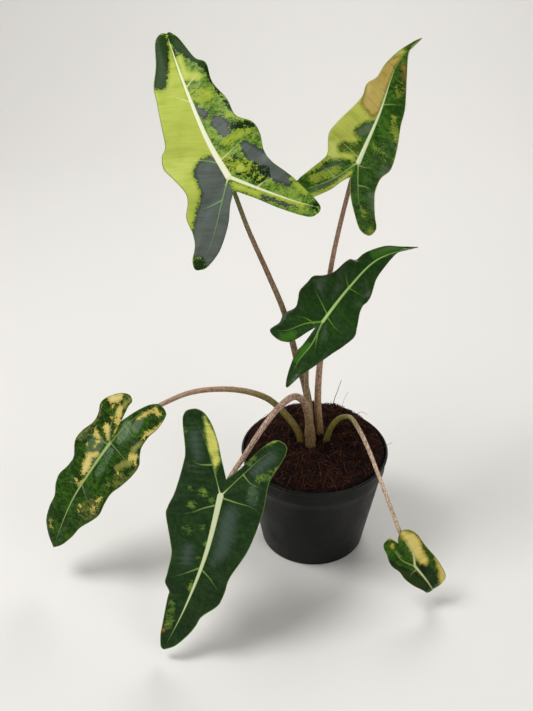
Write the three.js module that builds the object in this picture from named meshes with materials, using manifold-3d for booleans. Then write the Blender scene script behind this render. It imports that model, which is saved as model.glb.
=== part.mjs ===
// A variegated alocasia with six leaves in a round nursery pot, in millimetres, +Z up.
// The origin is the middle of the pot's flat base. The plant is looked at along +Y.
import * as THREE from "three";
import { mergeVertices } from "three/addons/utils/BufferGeometryUtils.js";
import Module from "manifold-3d";

const wasm = await Module();
wasm.setup();

// Clearance between pieces that touch
const GAP = 0.3;

// Pot: thin-walled, 12 cm across the rim, with a wider band under the lip
const POT_HEIGHT = 90;
const POT_RIM_RADIUS = 60;
const POT_BAND_RADIUS = 58.2;
const POT_BAND_BOTTOM = 76;
const POT_SHOULDER_RADIUS = 56.5;
const POT_BASE_RADIUS = 43;
const POT_WALL = 1.4;
const POT_FLOOR = 2;
const POT_SIDES = 40;
const FOOT_ROUNDING = 1.5;
const BAND_STEP = 2;
const BAND_FLARE = 0.6;
const LIP_HEIGHT = 2.2;
const LIP_WIDTH = 1.8;
const LIP_ROUNDING = 0.7;
const DRAIN_HOLES = 6;
const DRAIN_RADIUS = 4.5;
const DRAIN_RING_RADIUS = 29;
const DRAIN_SIDES = 12;

// Soil: heaped above the rim, higher at the back, with a shallow dip round the crown
const SOIL_EDGE = 89;
const SOIL_HEAP = 13;
const SOIL_TILT = 0.06;
const SOIL_DIP = 3;
const SOIL_DIP_RADIUS = 20;
const SOIL_LUMP = 0.8;
// Each swell of the lumps as [turn per mm along x, turn per mm along y, start], in radians
const SOIL_SWELLS = [[0.31, 0.17, 0], [0.23, -0.37, 1], [0, 0.53, 2]];
const SOIL_TOP_RINGS = [55, 52, 48, 43, 37, 31, 25, 19, 13, 7];

// Rhizome: the short buried stem that carries the petioles
const RHIZOME_X = 0;
const RHIZOME_Y = -3;
const RHIZOME_TOP = 85;
const RHIZOME_SIDES = 20;
const RHIZOME_PROFILE = [
  [0, 61], [6, 62], [10.5, 67], [14, 75], [15.5, 81], [15, RHIZOME_TOP], [0, RHIZOME_TOP],
];

// Blades: thin sheets with a rib below the midrib and the two basal veins
const BLADE_THICKNESS = 0.8;
const RIB_DEPTH = 1.5;
const FOLD_ROUNDING = 5;
const MIDRIB_POINTS = 40;
const MIDRIB_ROWS = 16;
const VEIN_ROWS = 11;
const OUTER_COLUMNS = [0, 0.07, 0.3, 0.55, 0.8, 1];
const INNER_COLUMNS = [0, 0.15, 0.5, 1];

// Petioles: slim stalks that taper upwards, from a foot on the rhizome
const PETIOLE_SIDES = 8;
const PETIOLE_STEPS = 26;
const PETIOLE_FOOT = RHIZOME_TOP + GAP;
const PETIOLE_COLOR = "#8a7355";

const DEGREE = Math.PI / 180;

// The six leaves. Flat points are [x, y] from the petiole junction: x towards the tip, y to the
// left as one looks at the upper face with the tip up; pairs are [left, right].
// faces: azimuth from the front towards +X, and elevation, of the upper face, in degrees.
// spin: turn of the tip from straight up the slope. slope: how far the sheet dips at stations of x.
// fold and camber: rise of each half from the midrib, and its droop outwards.
// wave: height, count and start of the margin's waves. split: share of the outer margin beside the midrib.
// A margin runs from the tip round the lobe's end, its point number lobe, to the sinus.
// A petiole has radii at its foot and top, and a taper, higher where it thins close to its foot.
const LEAVES = {
  upper_left: {
    color: "#8fae3c",
    junction: [-66, 0, 325],
    faces: [-5, 38],
    spin: 25,
    slope: [[-60, -14], [0, 0], [60, 5], [123, 16]],
    fold: [8, 8],
    camber: [0.25, 0.25],
    wave: [[3, 3.5, 0.1], [3, 3.5, 0.4]],
    split: 0.58,
    midrib: [[122, 2], [79, 4], [33, 4], [0, 0]],
    veins: [[[0, 0], [-14, 10], [-36, 26], [-53, 43]], [[0, 0], [-16, -16], [-33, -35], [-45, -51]]],
    lobe: [18, 14],
    margins: [
      [
        [122, 2], [123, 6], [118, 12], [100, 18], [84, 25], [70, 27], [52, 30], [37, 33], [32, 38],
        [23, 40], [12, 36], [0, 32], [-7, 33], [-16, 38], [-28, 38], [-37, 40], [-45, 45], [-51, 46],
        [-53, 43], [-53, 37], [-46, 25], [-32, 13], [-19, 6], [-11, 0],
      ],
      [
        [122, 2], [123, -1], [115, -5], [92, -10], [84, -16], [71, -15], [54, -20], [38, -21],
        [29, -30], [21, -32], [8, -30], [-3, -32], [-18, -41], [-38, -50], [-45, -51], [-48, -47],
        [-47, -40], [-35, -25], [-22, -12], [-11, 0],
      ],
    ],
    petiole: {
      radii: [3.6, 1.6],
      taper: 1.6,
      path: [
        [-5, 3.5, 99], [-5, 2, 125], [-9, 2, 150], [-15, 2, 171], [-26, 1, 216], [-38, 1, 248],
        [-53, 4, 284], [-61, 8, 306],
      ],
    },
  },
  upper_right: {
    color: "#a39a4e",
    junction: [26, 20, 328],
    faces: [-12, 40],
    spin: -20,
    slope: [[-45, -12], [0, 0], [50, 5], [108, 14]],
    fold: [5, -28],
    camber: [0.2, 0.3],
    wave: [[3, 3.5, 0.3], [3, 3, 0]],
    split: 0.6,
    midrib: [[108, 3], [79, 9], [39, 3], [0, 0]],
    veins: [[[0, 0], [-17, 10], [-30, 22], [-39, 35]], [[0, 0], [-15, -7], [-27, -14], [-44, -28]]],
    lobe: [14, 13],
    margins: [
      [
        [108, 3], [102, 8], [91, 14], [76, 17], [63, 17], [56, 22], [47, 21], [33, 23], [18, 27],
        [10, 29], [-2, 24], [-9, 24], [-20, 29], [-29, 34], [-39, 35], [-41, 24], [-35, 17], [-26, 9],
        [-17, 4], [-12, 0],
      ],
      [
        [108, 3], [98, 6], [89, 5], [75, -1], [54, -10], [39, -14], [23, -19], [9, -21], [-1, -18],
        [-12, -19], [-20, -22], [-29, -26], [-37, -30], [-44, -28], [-43, -21], [-34, -13], [-23, -5],
        [-12, 0],
      ],
    ],
    petiole: {
      radii: [3.2, 1.6],
      taper: 1.6,
      path: [
        [4.5, 4.5, 99], [2, 6, 128], [2, 8, 151], [4, 13, 180], [9, 22, 239], [14, 24, 271],
        [19, 26, 296], [23, 26, 315],
      ],
    },
  },
  middle: {
    color: "#2f6b22",
    junction: [2, -18, 219],
    faces: [0, 45],
    spin: -51,
    slope: [[-54, -16], [0, 0], [50, 6], [99, 20]],
    fold: [6, 6],
    camber: [0.35, 0.35],
    wave: [[2.5, 3, 0], [2.5, 3, 0.3]],
    split: 0.6,
    midrib: [[99, 2], [65, 12], [32, 8], [0, 0]],
    veins: [[[0, 0], [-11, 7], [-25, 12], [-34, 20]], [[0, 0], [-17, -8], [-34, -12], [-51, -21]]],
    lobe: [16, 15],
    margins: [
      [
        [99, 2], [86, 10], [76, 17], [61, 22], [52, 22], [48, 25], [42, 25], [31, 24], [24, 27],
        [18, 32], [11, 31], [2, 29], [-4, 24], [-9, 21], [-18, 23], [-25, 20], [-34, 20], [-34, 11],
        [-29, 4], [-23, 2], [-14, 1], [-7, 0],
      ],
      [
        [99, 2], [85, 7], [77, 7], [64, 4], [52, 0], [41, -7], [36, -9], [32, -9], [26, -12],
        [16, -20], [10, -24], [0, -24], [-8, -23], [-24, -22], [-39, -21], [-51, -21], [-49, -17],
        [-39, -10], [-29, -5], [-22, -4], [-7, 0],
      ],
    ],
    petiole: {
      radii: [2.6, 1.5],
      taper: 1.6,
      path: [[-1.5, -3.5, 99], [-4.5, -4.5, 124], [-8, -6, 152], [-8, -9, 179], [-4, -13, 203]],
    },
  },
  low_left: {
    color: "#3f6a2c",
    junction: [-161, -35, 120],
    faces: [-32, 36],
    spin: 169,
    slope: [[-50, 4], [0, 0], [45, 8], [102, 18]],
    fold: [8, 8],
    camber: [0.3, 0.3],
    wave: [[2.5, 3, 0.2], [2.5, 3, 0.5]],
    split: 0.6,
    midrib: [[103, -12], [60, -10], [28, -5], [0, 0]],
    veins: [[[0, 0], [-19, 6], [-37, 16], [-44, 34]], [[0, 0], [-11, -6], [-22, -8], [-38, -12]]],
    lobe: [15, 16],
    margins: [
      [
        [103, -12], [95, -4], [84, 2], [73, 6], [59, 16], [50, 21], [40, 21], [32, 21], [22, 26],
        [9, 32], [0, 34], [-7, 30], [-12, 27], [-21, 28], [-32, 33], [-44, 34], [-48, 26], [-45, 19],
        [-39, 13], [-31, 7], [-20, 0],
      ],
      [
        [103, -12], [96, -21], [86, -27], [73, -27], [61, -25], [52, -29], [45, -31], [35, -27],
        [25, -24], [15, -27], [9, -28], [2, -27], [-7, -23], [-16, -22], [-23, -23], [-30, -20],
        [-38, -12], [-41, -4], [-38, 1], [-33, 0], [-28, 0], [-20, 0],
      ],
    ],
    petiole: {
      radii: [3.4, 1.7],
      taper: 2,
      path: [
        [-11, -6, 99], [-15, -7, 113], [-25, -9, 130], [-38, -12, 146], [-54, -15, 155], [-75, -19, 160],
        [-98, -21, 158], [-120, -22, 148], [-138, -24, 138], [-153, -28, 126],
      ],
    },
  },
  front: {
    color: "#2f4f33",
    junction: [-73, -92, 115],
    faces: [-18, 34],
    spin: 170,
    slope: [[-56, 6], [0, 0], [60, 4], [128, 8]],
    fold: [10, 10],
    camber: [0.3, 0.3],
    wave: [[3, 4, 0.1], [3, 4, 0.6]],
    split: 0.68,
    midrib: [[124, -4], [86, 2], [43, 4], [0, 0]],
    veins: [[[0, 0], [-21, 11], [-40, 22], [-52, 35]], [[0, 0], [-19, -13], [-38, -28], [-51, -44]]],
    lobe: [15, 17],
    margins: [
      [
        [124, -4], [117, 4], [107, 10], [97, 14], [87, 17], [76, 25], [71, 26], [62, 27], [51, 28],
        [31, 33], [10, 34], [-6, 34], [-23, 32], [-35, 34], [-46, 36], [-52, 35], [-54, 28],
        [-50, 22], [-39, 15], [-25, 8], [-13, 0],
      ],
      [
        [124, -4], [123, -7], [115, -9], [104, -10], [85, -13], [81, -14], [75, -18], [66, -18],
        [54, -20], [46, -25], [29, -34], [21, -34], [10, -33], [-10, -35], [-22, -37], [-41, -45],
        [-48, -46], [-51, -44], [-54, -38], [-53, -31], [-47, -23], [-37, -15], [-27, -9], [-13, 0],
      ],
    ],
    petiole: {
      radii: [4.6, 1.9],
      taper: 2.2,
      path: [
        [-4, -11, 99], [-5, -14, 118], [-7, -19, 137], [-12, -25, 154], [-19, -31, 161], [-30, -42, 159],
        [-42, -54, 149], [-55, -67, 134], [-64, -79, 126],
      ],
    },
  },
  low_right: {
    color: "#8c9a4a",
    junction: [75, -88, 42],
    faces: [14, 22],
    spin: -150,
    slope: [[-32, -16], [0, 0], [24, 12], [34, 75], [43, 112]],
    fold: [8, -16],
    camber: [0.4, 0.4],
    wave: [[1.2, 2.5, 0.2], [1.2, 2.5, 0.5]],
    split: 0.55,
    midrib: [[42, 0], [29, 1], [15, 1], [0, 0]],
    veins: [[[0, 0], [-10, 5], [-18, 5], [-28, 5]], [[0, 0], [-9, -5], [-17, -6], [-30, -6]]],
    lobe: [12, 12],
    margins: [
      [
        [42, 0], [38, 8], [32, 12], [24, 16], [13, 17], [4, 17], [-7, 16], [-13, 16], [-19, 16],
        [-25, 14], [-28, 11], [-29, 8], [-28, 5], [-26, 2], [-23, 0],
      ],
      [
        [42, 0], [37, -3], [30, -4], [22, -6], [13, -10], [5, -12], [-2, -12], [-9, -14], [-15, -14],
        [-21, -12], [-26, -11], [-29, -9], [-30, -6], [-30, -3], [-26, -1], [-23, 0],
      ],
    ],
    petiole: {
      radii: [3.3, 1.5],
      taper: 4.5,
      path: [
        [9, -4, 99], [14, -9, 120], [20, -14, 130], [26, -20, 134], [32, -26, 128], [39, -36, 117],
        [47, -50, 101], [57, -65, 79], [63, -73, 65], [69, -80, 53],
      ],
    },
  },
};

// Turns a geometry into a solid; only positions are kept, so shared corners join up
function toSolid(geometry) {
  const bare = geometry.clone();
  bare.deleteAttribute("normal");
  bare.deleteAttribute("uv");
  const merged = mergeVertices(bare, 1e-3);
  return new wasm.Manifold(
    new wasm.Mesh({
      numProp: 3,
      vertProperties: merged.attributes.position.array,
      triVerts: new Uint32Array(merged.index.array),
    }),
  );
}

function toGeometry(solid) {
  const mesh = solid.getMesh();
  const geometry = new THREE.BufferGeometry();
  geometry.setAttribute("position", new THREE.BufferAttribute(mesh.vertProperties, 3));
  geometry.setIndex(new THREE.BufferAttribute(mesh.triVerts, 1));
  return geometry;
}

function largestPiece(solid) {
  return solid.decompose().reduce((best, piece) => (piece.volume() > best.volume() ? piece : best));
}

function lathe(profile, sides) {
  const geometry = new THREE.LatheGeometry(profile.map(([r, z]) => new THREE.Vector2(r, z)), sides);
  return geometry.rotateX(Math.PI / 2);
}

// Value at x on a broken line through [x, value] pairs, flat beyond its ends
function onBrokenLine(pairs, x) {
  if (x <= pairs[0][0]) return pairs[0][1];
  for (let i = 1; i < pairs.length; i++) {
    const [x0, a] = pairs[i - 1];
    const [x1, b] = pairs[i];
    if (x <= x1) return a + ((b - a) * (x - x0)) / (x1 - x0);
  }
  return pairs[pairs.length - 1][1];
}

// Pot

function potSolid() {
  const inner = (radius) => radius - POT_WALL;
  const flared = POT_BAND_RADIUS + BAND_FLARE;
  const profile = [
    [0, 0],
    [POT_BASE_RADIUS - FOOT_ROUNDING, 0],
    [POT_BASE_RADIUS, FOOT_ROUNDING],
    [POT_SHOULDER_RADIUS, POT_BAND_BOTTOM - BAND_STEP],
    [POT_BAND_RADIUS, POT_BAND_BOTTOM],
    [flared, POT_HEIGHT - LIP_HEIGHT - LIP_ROUNDING],
    [POT_RIM_RADIUS, POT_HEIGHT - LIP_HEIGHT],
    [POT_RIM_RADIUS, POT_HEIGHT - LIP_ROUNDING],
    [POT_RIM_RADIUS - LIP_ROUNDING, POT_HEIGHT],
    [POT_RIM_RADIUS - LIP_WIDTH, POT_HEIGHT],
    [inner(flared), POT_HEIGHT - LIP_ROUNDING],
    [inner(POT_BAND_RADIUS), POT_BAND_BOTTOM],
    [inner(POT_SHOULDER_RADIUS), POT_BAND_BOTTOM - BAND_STEP],
    [inner(POT_BASE_RADIUS), POT_FLOOR + FOOT_ROUNDING],
    [inner(POT_BASE_RADIUS) - FOOT_ROUNDING, POT_FLOOR],
    [0, POT_FLOOR],
  ];
  let solid = toSolid(lathe(profile, POT_SIDES));
  for (let i = 0; i < DRAIN_HOLES; i++) {
    const angle = (i / DRAIN_HOLES) * 2 * Math.PI;
    const hole = new THREE.CylinderGeometry(DRAIN_RADIUS, DRAIN_RADIUS, POT_FLOOR * 3, DRAIN_SIDES);
    hole.rotateX(Math.PI / 2);
    hole.translate(DRAIN_RING_RADIUS * Math.cos(angle), DRAIN_RING_RADIUS * Math.sin(angle), 0);
    solid = solid.subtract(toSolid(hole));
  }
  return solid;
}

// Soil and rhizome

function soilTop(x, y) {
  const r = Math.hypot(x, y);
  const heap = SOIL_HEAP * (1 - Math.pow(r / POT_SHOULDER_RADIUS, 8));
  const dip = SOIL_DIP * Math.exp(-((r / SOIL_DIP_RADIUS) ** 2));
  let lumps = 0;
  for (const [alongX, alongY, start] of SOIL_SWELLS) lumps += Math.sin(alongX * x + alongY * y + start);
  const uneven = SOIL_TILT * y + SOIL_LUMP * lumps;
  return SOIL_EDGE + heap - dip + (uneven * heap) / SOIL_HEAP;
}

// Fills the pot; the rings of its top are laid flat first and then set to the heap's height
function soilSolid() {
  const side = (radius) => radius - POT_WALL - GAP;
  const outline = [
    [0, POT_FLOOR + GAP],
    [side(POT_BASE_RADIUS) - FOOT_ROUNDING, POT_FLOOR + GAP],
    [side(POT_BASE_RADIUS), POT_FLOOR + FOOT_ROUNDING + GAP],
    [side(POT_SHOULDER_RADIUS), POT_BAND_BOTTOM - BAND_STEP],
    [side(POT_BAND_RADIUS), POT_BAND_BOTTOM + GAP],
    [side(POT_BAND_RADIUS), SOIL_EDGE - LIP_HEIGHT],
  ];
  const top = SOIL_TOP_RINGS.map((r) => [r, POT_HEIGHT]).concat([[0, POT_HEIGHT]]);
  const geometry = lathe(outline.concat(top), POT_SIDES);
  const position = geometry.getAttribute("position");
  for (let i = 0; i < position.count; i++) {
    const onTop = position.getZ(i) > SOIL_EDGE;
    if (onTop) position.setZ(i, soilTop(position.getX(i), position.getY(i)));
  }
  return toSolid(geometry);
}

function rhizomeSolid(grown) {
  const profile = RHIZOME_PROFILE.map(([r, z]) => [
    r > 0 ? r + grown : 0,
    z === RHIZOME_TOP ? z + grown : z - grown,
  ]);
  return toSolid(lathe(profile, RHIZOME_SIDES).translate(RHIZOME_X, RHIZOME_Y, 0));
}

// Blades

function flatSpline(points) {
  return new THREE.SplineCurve(points.map(([x, y]) => new THREE.Vector2(x, y)));
}

// The leaf's own axes: towards the tip, to the left, and out of the upper face
function leafAxes(leaf) {
  const [azimuth, elevation] = leaf.faces.map((angle) => angle * DEGREE);
  const out = new THREE.Vector3(
    Math.cos(elevation) * Math.sin(azimuth),
    -Math.cos(elevation) * Math.cos(azimuth),
    Math.sin(elevation),
  );
  const upSlope = new THREE.Vector3(0, 0, 1).addScaledVector(out, -out.z).normalize();
  const tip = upSlope.clone().applyAxisAngle(out, leaf.spin * DEGREE);
  const left = new THREE.Vector3().crossVectors(out, tip);
  return { tip, left, out };
}

// Follows the dipping midrib line from the junction to x, in steps of about 1 mm
function alongDip(slope, x) {
  const steps = Math.ceil(Math.abs(x));
  const step = steps > 0 ? x / steps : 0;
  let forward = 0;
  let down = 0;
  for (let i = 0; i < steps; i++) {
    const tilt = onBrokenLine(slope, (i + 0.5) * step) * DEGREE;
    forward += Math.cos(tilt) * step;
    down += Math.sin(tilt) * step;
  }
  return { forward, down, tilt: onBrokenLine(slope, x) * DEGREE };
}

// A function from a flat point to its place in space.
// side is 0 on the left and 1 on the right, s runs along the outer margin, v from rib to margin.
function leafPlacer(leaf) {
  const { tip, left, out } = leafAxes(leaf);
  const junction = new THREE.Vector3(...leaf.junction);
  const midribLine = flatSpline(leaf.midrib)
    .getPoints(MIDRIB_POINTS)
    .map((p) => [p.x, p.y])
    .reverse();
  return (flat, side, s, v) => {
    const outward = side === 0 ? 1 : -1;
    const span = Math.max(0, outward * (flat.y - onBrokenLine(midribLine, flat.x)));
    const [height, count, start] = leaf.wave[side];
    const swell = Math.sqrt(Math.max(0, Math.sin(Math.PI * s)));
    const rise = Math.tan(leaf.fold[side] * DEGREE) * (Math.hypot(span, FOLD_ROUNDING) - FOLD_ROUNDING);
    const droop = (leaf.camber[side] * span * span) / 100;
    const wave = height * v * v * swell * Math.sin(2 * Math.PI * (count * s + start));
    const lift = rise - droop + wave;
    const dip = alongDip(leaf.slope, flat.x);
    return junction
      .clone()
      .addScaledVector(tip, dip.forward + lift * Math.sin(dip.tilt))
      .addScaledVector(left, flat.y)
      .addScaledVector(out, lift * Math.cos(dip.tilt) - dip.down);
  };
}

// The sheet midway between a blade's two faces, with how much rib lies under each vertex.
// Each half is an outer strip from the tip to the lobe's end and an inner strip back to the sinus.
function bladeSheet(leaf) {
  const place = leafPlacer(leaf);
  const corners = [];
  const ribs = [];
  const index = [];

  function addStrip(rows, columns, facesOut) {
    const first = corners.length;
    for (const row of rows) {
      for (const v of columns) {
        const flat = row.spine.clone().lerp(row.margin, v);
        corners.push(place(flat, row.side, row.s, row.waved ? v : 0));
        ribs.push(v === 0 ? row.rib : 0);
      }
    }
    const width = columns.length;
    for (let r = 0; r + 1 < rows.length; r++) {
      for (let c = 0; c + 1 < width; c++) {
        const a = first + r * width + c;
        const [b, d, e] = [a + 1, a + width, a + width + 1];
        index.push(...(facesOut ? [a, b, e, a, e, d] : [a, e, b, a, d, e]));
      }
    }
  }

  for (const side of [0, 1]) {
    const midrib = flatSpline(leaf.midrib);
    const vein = flatSpline(leaf.veins[side]);
    const margin = flatSpline(leaf.margins[side]);
    const lobeEnd = leaf.lobe[side] / (leaf.margins[side].length - 1);
    const outer = [];
    const inner = [];
    for (let i = 0; i < MIDRIB_ROWS; i++) {
      const t = i / MIDRIB_ROWS;
      const s = leaf.split * t;
      const spine = midrib.getPoint(t);
      outer.push({ spine, margin: margin.getPoint(s * lobeEnd), side, s, rib: t, waved: true });
    }
    for (let i = 0; i <= VEIN_ROWS; i++) {
      const t = i / VEIN_ROWS;
      const s = leaf.split + (1 - leaf.split) * t;
      const spine = vein.getPoint(t);
      const back = 1 - (1 - lobeEnd) * t;
      outer.push({ spine, margin: margin.getPoint(s * lobeEnd), side, s, rib: 1 - t, waved: true });
      inner.push({ spine, margin: margin.getPoint(back), side, s, rib: 1 - t, waved: false });
    }
    addStrip(outer, OUTER_COLUMNS, side === 0);
    addStrip(inner, INNER_COLUMNS, side === 1);
  }

  const sheet = new THREE.BufferGeometry().setFromPoints(corners);
  sheet.setAttribute("rib", new THREE.Float32BufferAttribute(ribs, 1));
  sheet.setIndex(index);
  const merged = mergeVertices(sheet, 1e-3);
  const kept = [];
  for (let i = 0; i < merged.index.count; i += 3) {
    const [a, b, c] = [0, 1, 2].map((k) => merged.index.getX(i + k));
    if (a !== b && b !== c && c !== a) kept.push(a, b, c);
  }
  merged.setIndex(kept);
  merged.computeVertexNormals();
  return merged;
}

// A sheet with two faces split alike, half a thickness off on each side, and a wall round its edge
function thickened(sheet, thickness) {
  const position = sheet.getAttribute("position");
  const normal = sheet.getAttribute("normal");
  const rib = sheet.getAttribute("rib");
  const index = Array.from(sheet.index.array);
  const count = position.count;
  const corners = new Float32Array(count * 6);
  for (let i = 0; i < count; i++) {
    const middle = new THREE.Vector3().fromBufferAttribute(position, i);
    const away = new THREE.Vector3().fromBufferAttribute(normal, i);
    const above = middle.clone().addScaledVector(away, thickness / 2);
    const below = middle.clone().addScaledVector(away, -thickness / 2 - RIB_DEPTH * rib.getX(i));
    above.toArray(corners, i * 3);
    below.toArray(corners, (count + i) * 3);
  }
  const edges = new Set();
  for (let i = 0; i < index.length; i += 3) {
    for (let k = 0; k < 3; k++) edges.add(`${index[i + k]},${index[i + ((k + 1) % 3)]}`);
  }
  const faces = index.slice();
  for (let i = 0; i < index.length; i += 3) {
    const [a, b, c] = index.slice(i, i + 3);
    faces.push(count + a, count + c, count + b);
  }
  for (const edge of edges) {
    const [a, b] = edge.split(",").map(Number);
    if (!edges.has(`${b},${a}`)) faces.push(b, a, count + a, b, count + a, count + b);
  }
  const geometry = new THREE.BufferGeometry();
  geometry.setAttribute("position", new THREE.BufferAttribute(corners, 3));
  geometry.setIndex(faces);
  return geometry;
}

// Petioles

// A closed stalk along a smooth curve, wider at its foot
function stalk(points, { radii, taper }, grown) {
  const [footRadius, topRadius] = radii;
  const curve = new THREE.CatmullRomCurve3(points.map((p) => new THREE.Vector3(...p)));
  const frames = curve.computeFrenetFrames(PETIOLE_STEPS, false);
  const corners = [];
  const index = [];
  for (let i = 0; i <= PETIOLE_STEPS; i++) {
    const t = i / PETIOLE_STEPS;
    const centre = curve.getPointAt(t);
    const radius = topRadius + (footRadius - topRadius) * Math.pow(1 - t, taper) + grown;
    for (let k = 0; k < PETIOLE_SIDES; k++) {
      const angle = (k / PETIOLE_SIDES) * 2 * Math.PI;
      corners.push(
        centre
          .clone()
          .addScaledVector(frames.normals[i], radius * Math.cos(angle))
          .addScaledVector(frames.binormals[i], radius * Math.sin(angle)),
      );
    }
  }
  const foot = corners.length;
  const top = foot + 1;
  corners.push(curve.getPointAt(0), curve.getPointAt(1));
  const lastRing = PETIOLE_STEPS * PETIOLE_SIDES;
  for (let k = 0; k < PETIOLE_SIDES; k++) {
    const next = (k + 1) % PETIOLE_SIDES;
    index.push(foot, next, k, top, lastRing + k, lastRing + next);
    for (let i = 0; i < PETIOLE_STEPS; i++) {
      const ring = i * PETIOLE_SIDES;
      const above = ring + PETIOLE_SIDES;
      index.push(ring + k, ring + next, above + next, ring + k, above + next, above + k);
    }
  }
  return new THREE.BufferGeometry().setFromPoints(corners).setIndex(index);
}

// A petiole stands on the rhizome and ends just under its blade
function petioleSolid(leaf, bladeClearance) {
  const { path } = leaf.petiole;
  const foot = [path[0][0], path[0][1], PETIOLE_FOOT];
  const whole = toSolid(stalk([foot, ...path, leaf.junction], leaf.petiole, 0));
  return largestPiece(whole.subtract(bladeClearance));
}

// The plain hole that a petiole stands in
function petioleHole(leaf) {
  const { path } = leaf.petiole;
  const foot = [path[0][0], path[0][1], PETIOLE_FOOT - GAP];
  return toSolid(stalk([foot, ...path], leaf.petiole, GAP));
}

// The whole plant in its pot

const plant = new THREE.Group();

function addNode(name, geometry, color, roughness) {
  const mesh = new THREE.Mesh(geometry, new THREE.MeshStandardMaterial({ color, roughness, metalness: 0 }));
  mesh.name = name;
  plant.add(mesh);
}

let soil = soilSolid().subtract(rhizomeSolid(GAP));
for (const [name, leaf] of Object.entries(LEAVES)) {
  const sheet = bladeSheet(leaf);
  const clearance = toSolid(thickened(sheet, BLADE_THICKNESS + 2 * GAP));
  addNode("blade_" + name, thickened(sheet, BLADE_THICKNESS), leaf.color, 0.5);
  addNode("petiole_" + name, toGeometry(petioleSolid(leaf, clearance)), PETIOLE_COLOR, 0.6);
  soil = soil.subtract(petioleHole(leaf));
}
addNode("pot", toGeometry(potSolid()), "#0c0c0d", 0.45);
addNode("soil", toGeometry(largestPiece(soil)), "#2a1410", 0.95);
addNode("rhizome", toGeometry(rhizomeSolid(0)), "#5a4630", 0.8);

export default plant;
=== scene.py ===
import math

import bpy
import numpy as np
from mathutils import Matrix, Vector, kdtree


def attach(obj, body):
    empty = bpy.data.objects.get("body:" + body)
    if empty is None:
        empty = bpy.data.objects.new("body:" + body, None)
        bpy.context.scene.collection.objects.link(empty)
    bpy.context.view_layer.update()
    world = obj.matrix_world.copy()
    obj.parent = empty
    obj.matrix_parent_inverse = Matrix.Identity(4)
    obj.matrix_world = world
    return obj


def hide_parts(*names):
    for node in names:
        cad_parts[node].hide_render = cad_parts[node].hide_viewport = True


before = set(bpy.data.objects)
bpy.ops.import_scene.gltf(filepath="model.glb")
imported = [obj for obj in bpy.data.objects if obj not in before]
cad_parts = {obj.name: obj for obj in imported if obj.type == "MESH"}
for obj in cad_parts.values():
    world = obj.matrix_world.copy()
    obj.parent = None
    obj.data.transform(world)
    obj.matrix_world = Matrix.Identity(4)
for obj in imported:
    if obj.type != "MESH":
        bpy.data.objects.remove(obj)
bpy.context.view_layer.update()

MM = 0.001

# Leaves, in millimetres. Flat points are [x, y] from the petiole junction: x towards the tip,
# y to the left of someone who looks at the upper face with the tip up; pairs are [left, right].
# margins: from behind the tip, the first point of the midrib, round a lobe to where the lobes part.
# veins: the basal veins, each to the end of its lobe. laterals: the other side veins.
# rib: half-width and taper of the midrib, half-widths of the basal veins. ridge: height of the
# cross ridges. patches: kind and zone, then points, radii and solidity of each line, in mm.
LEAVES = {}

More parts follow.
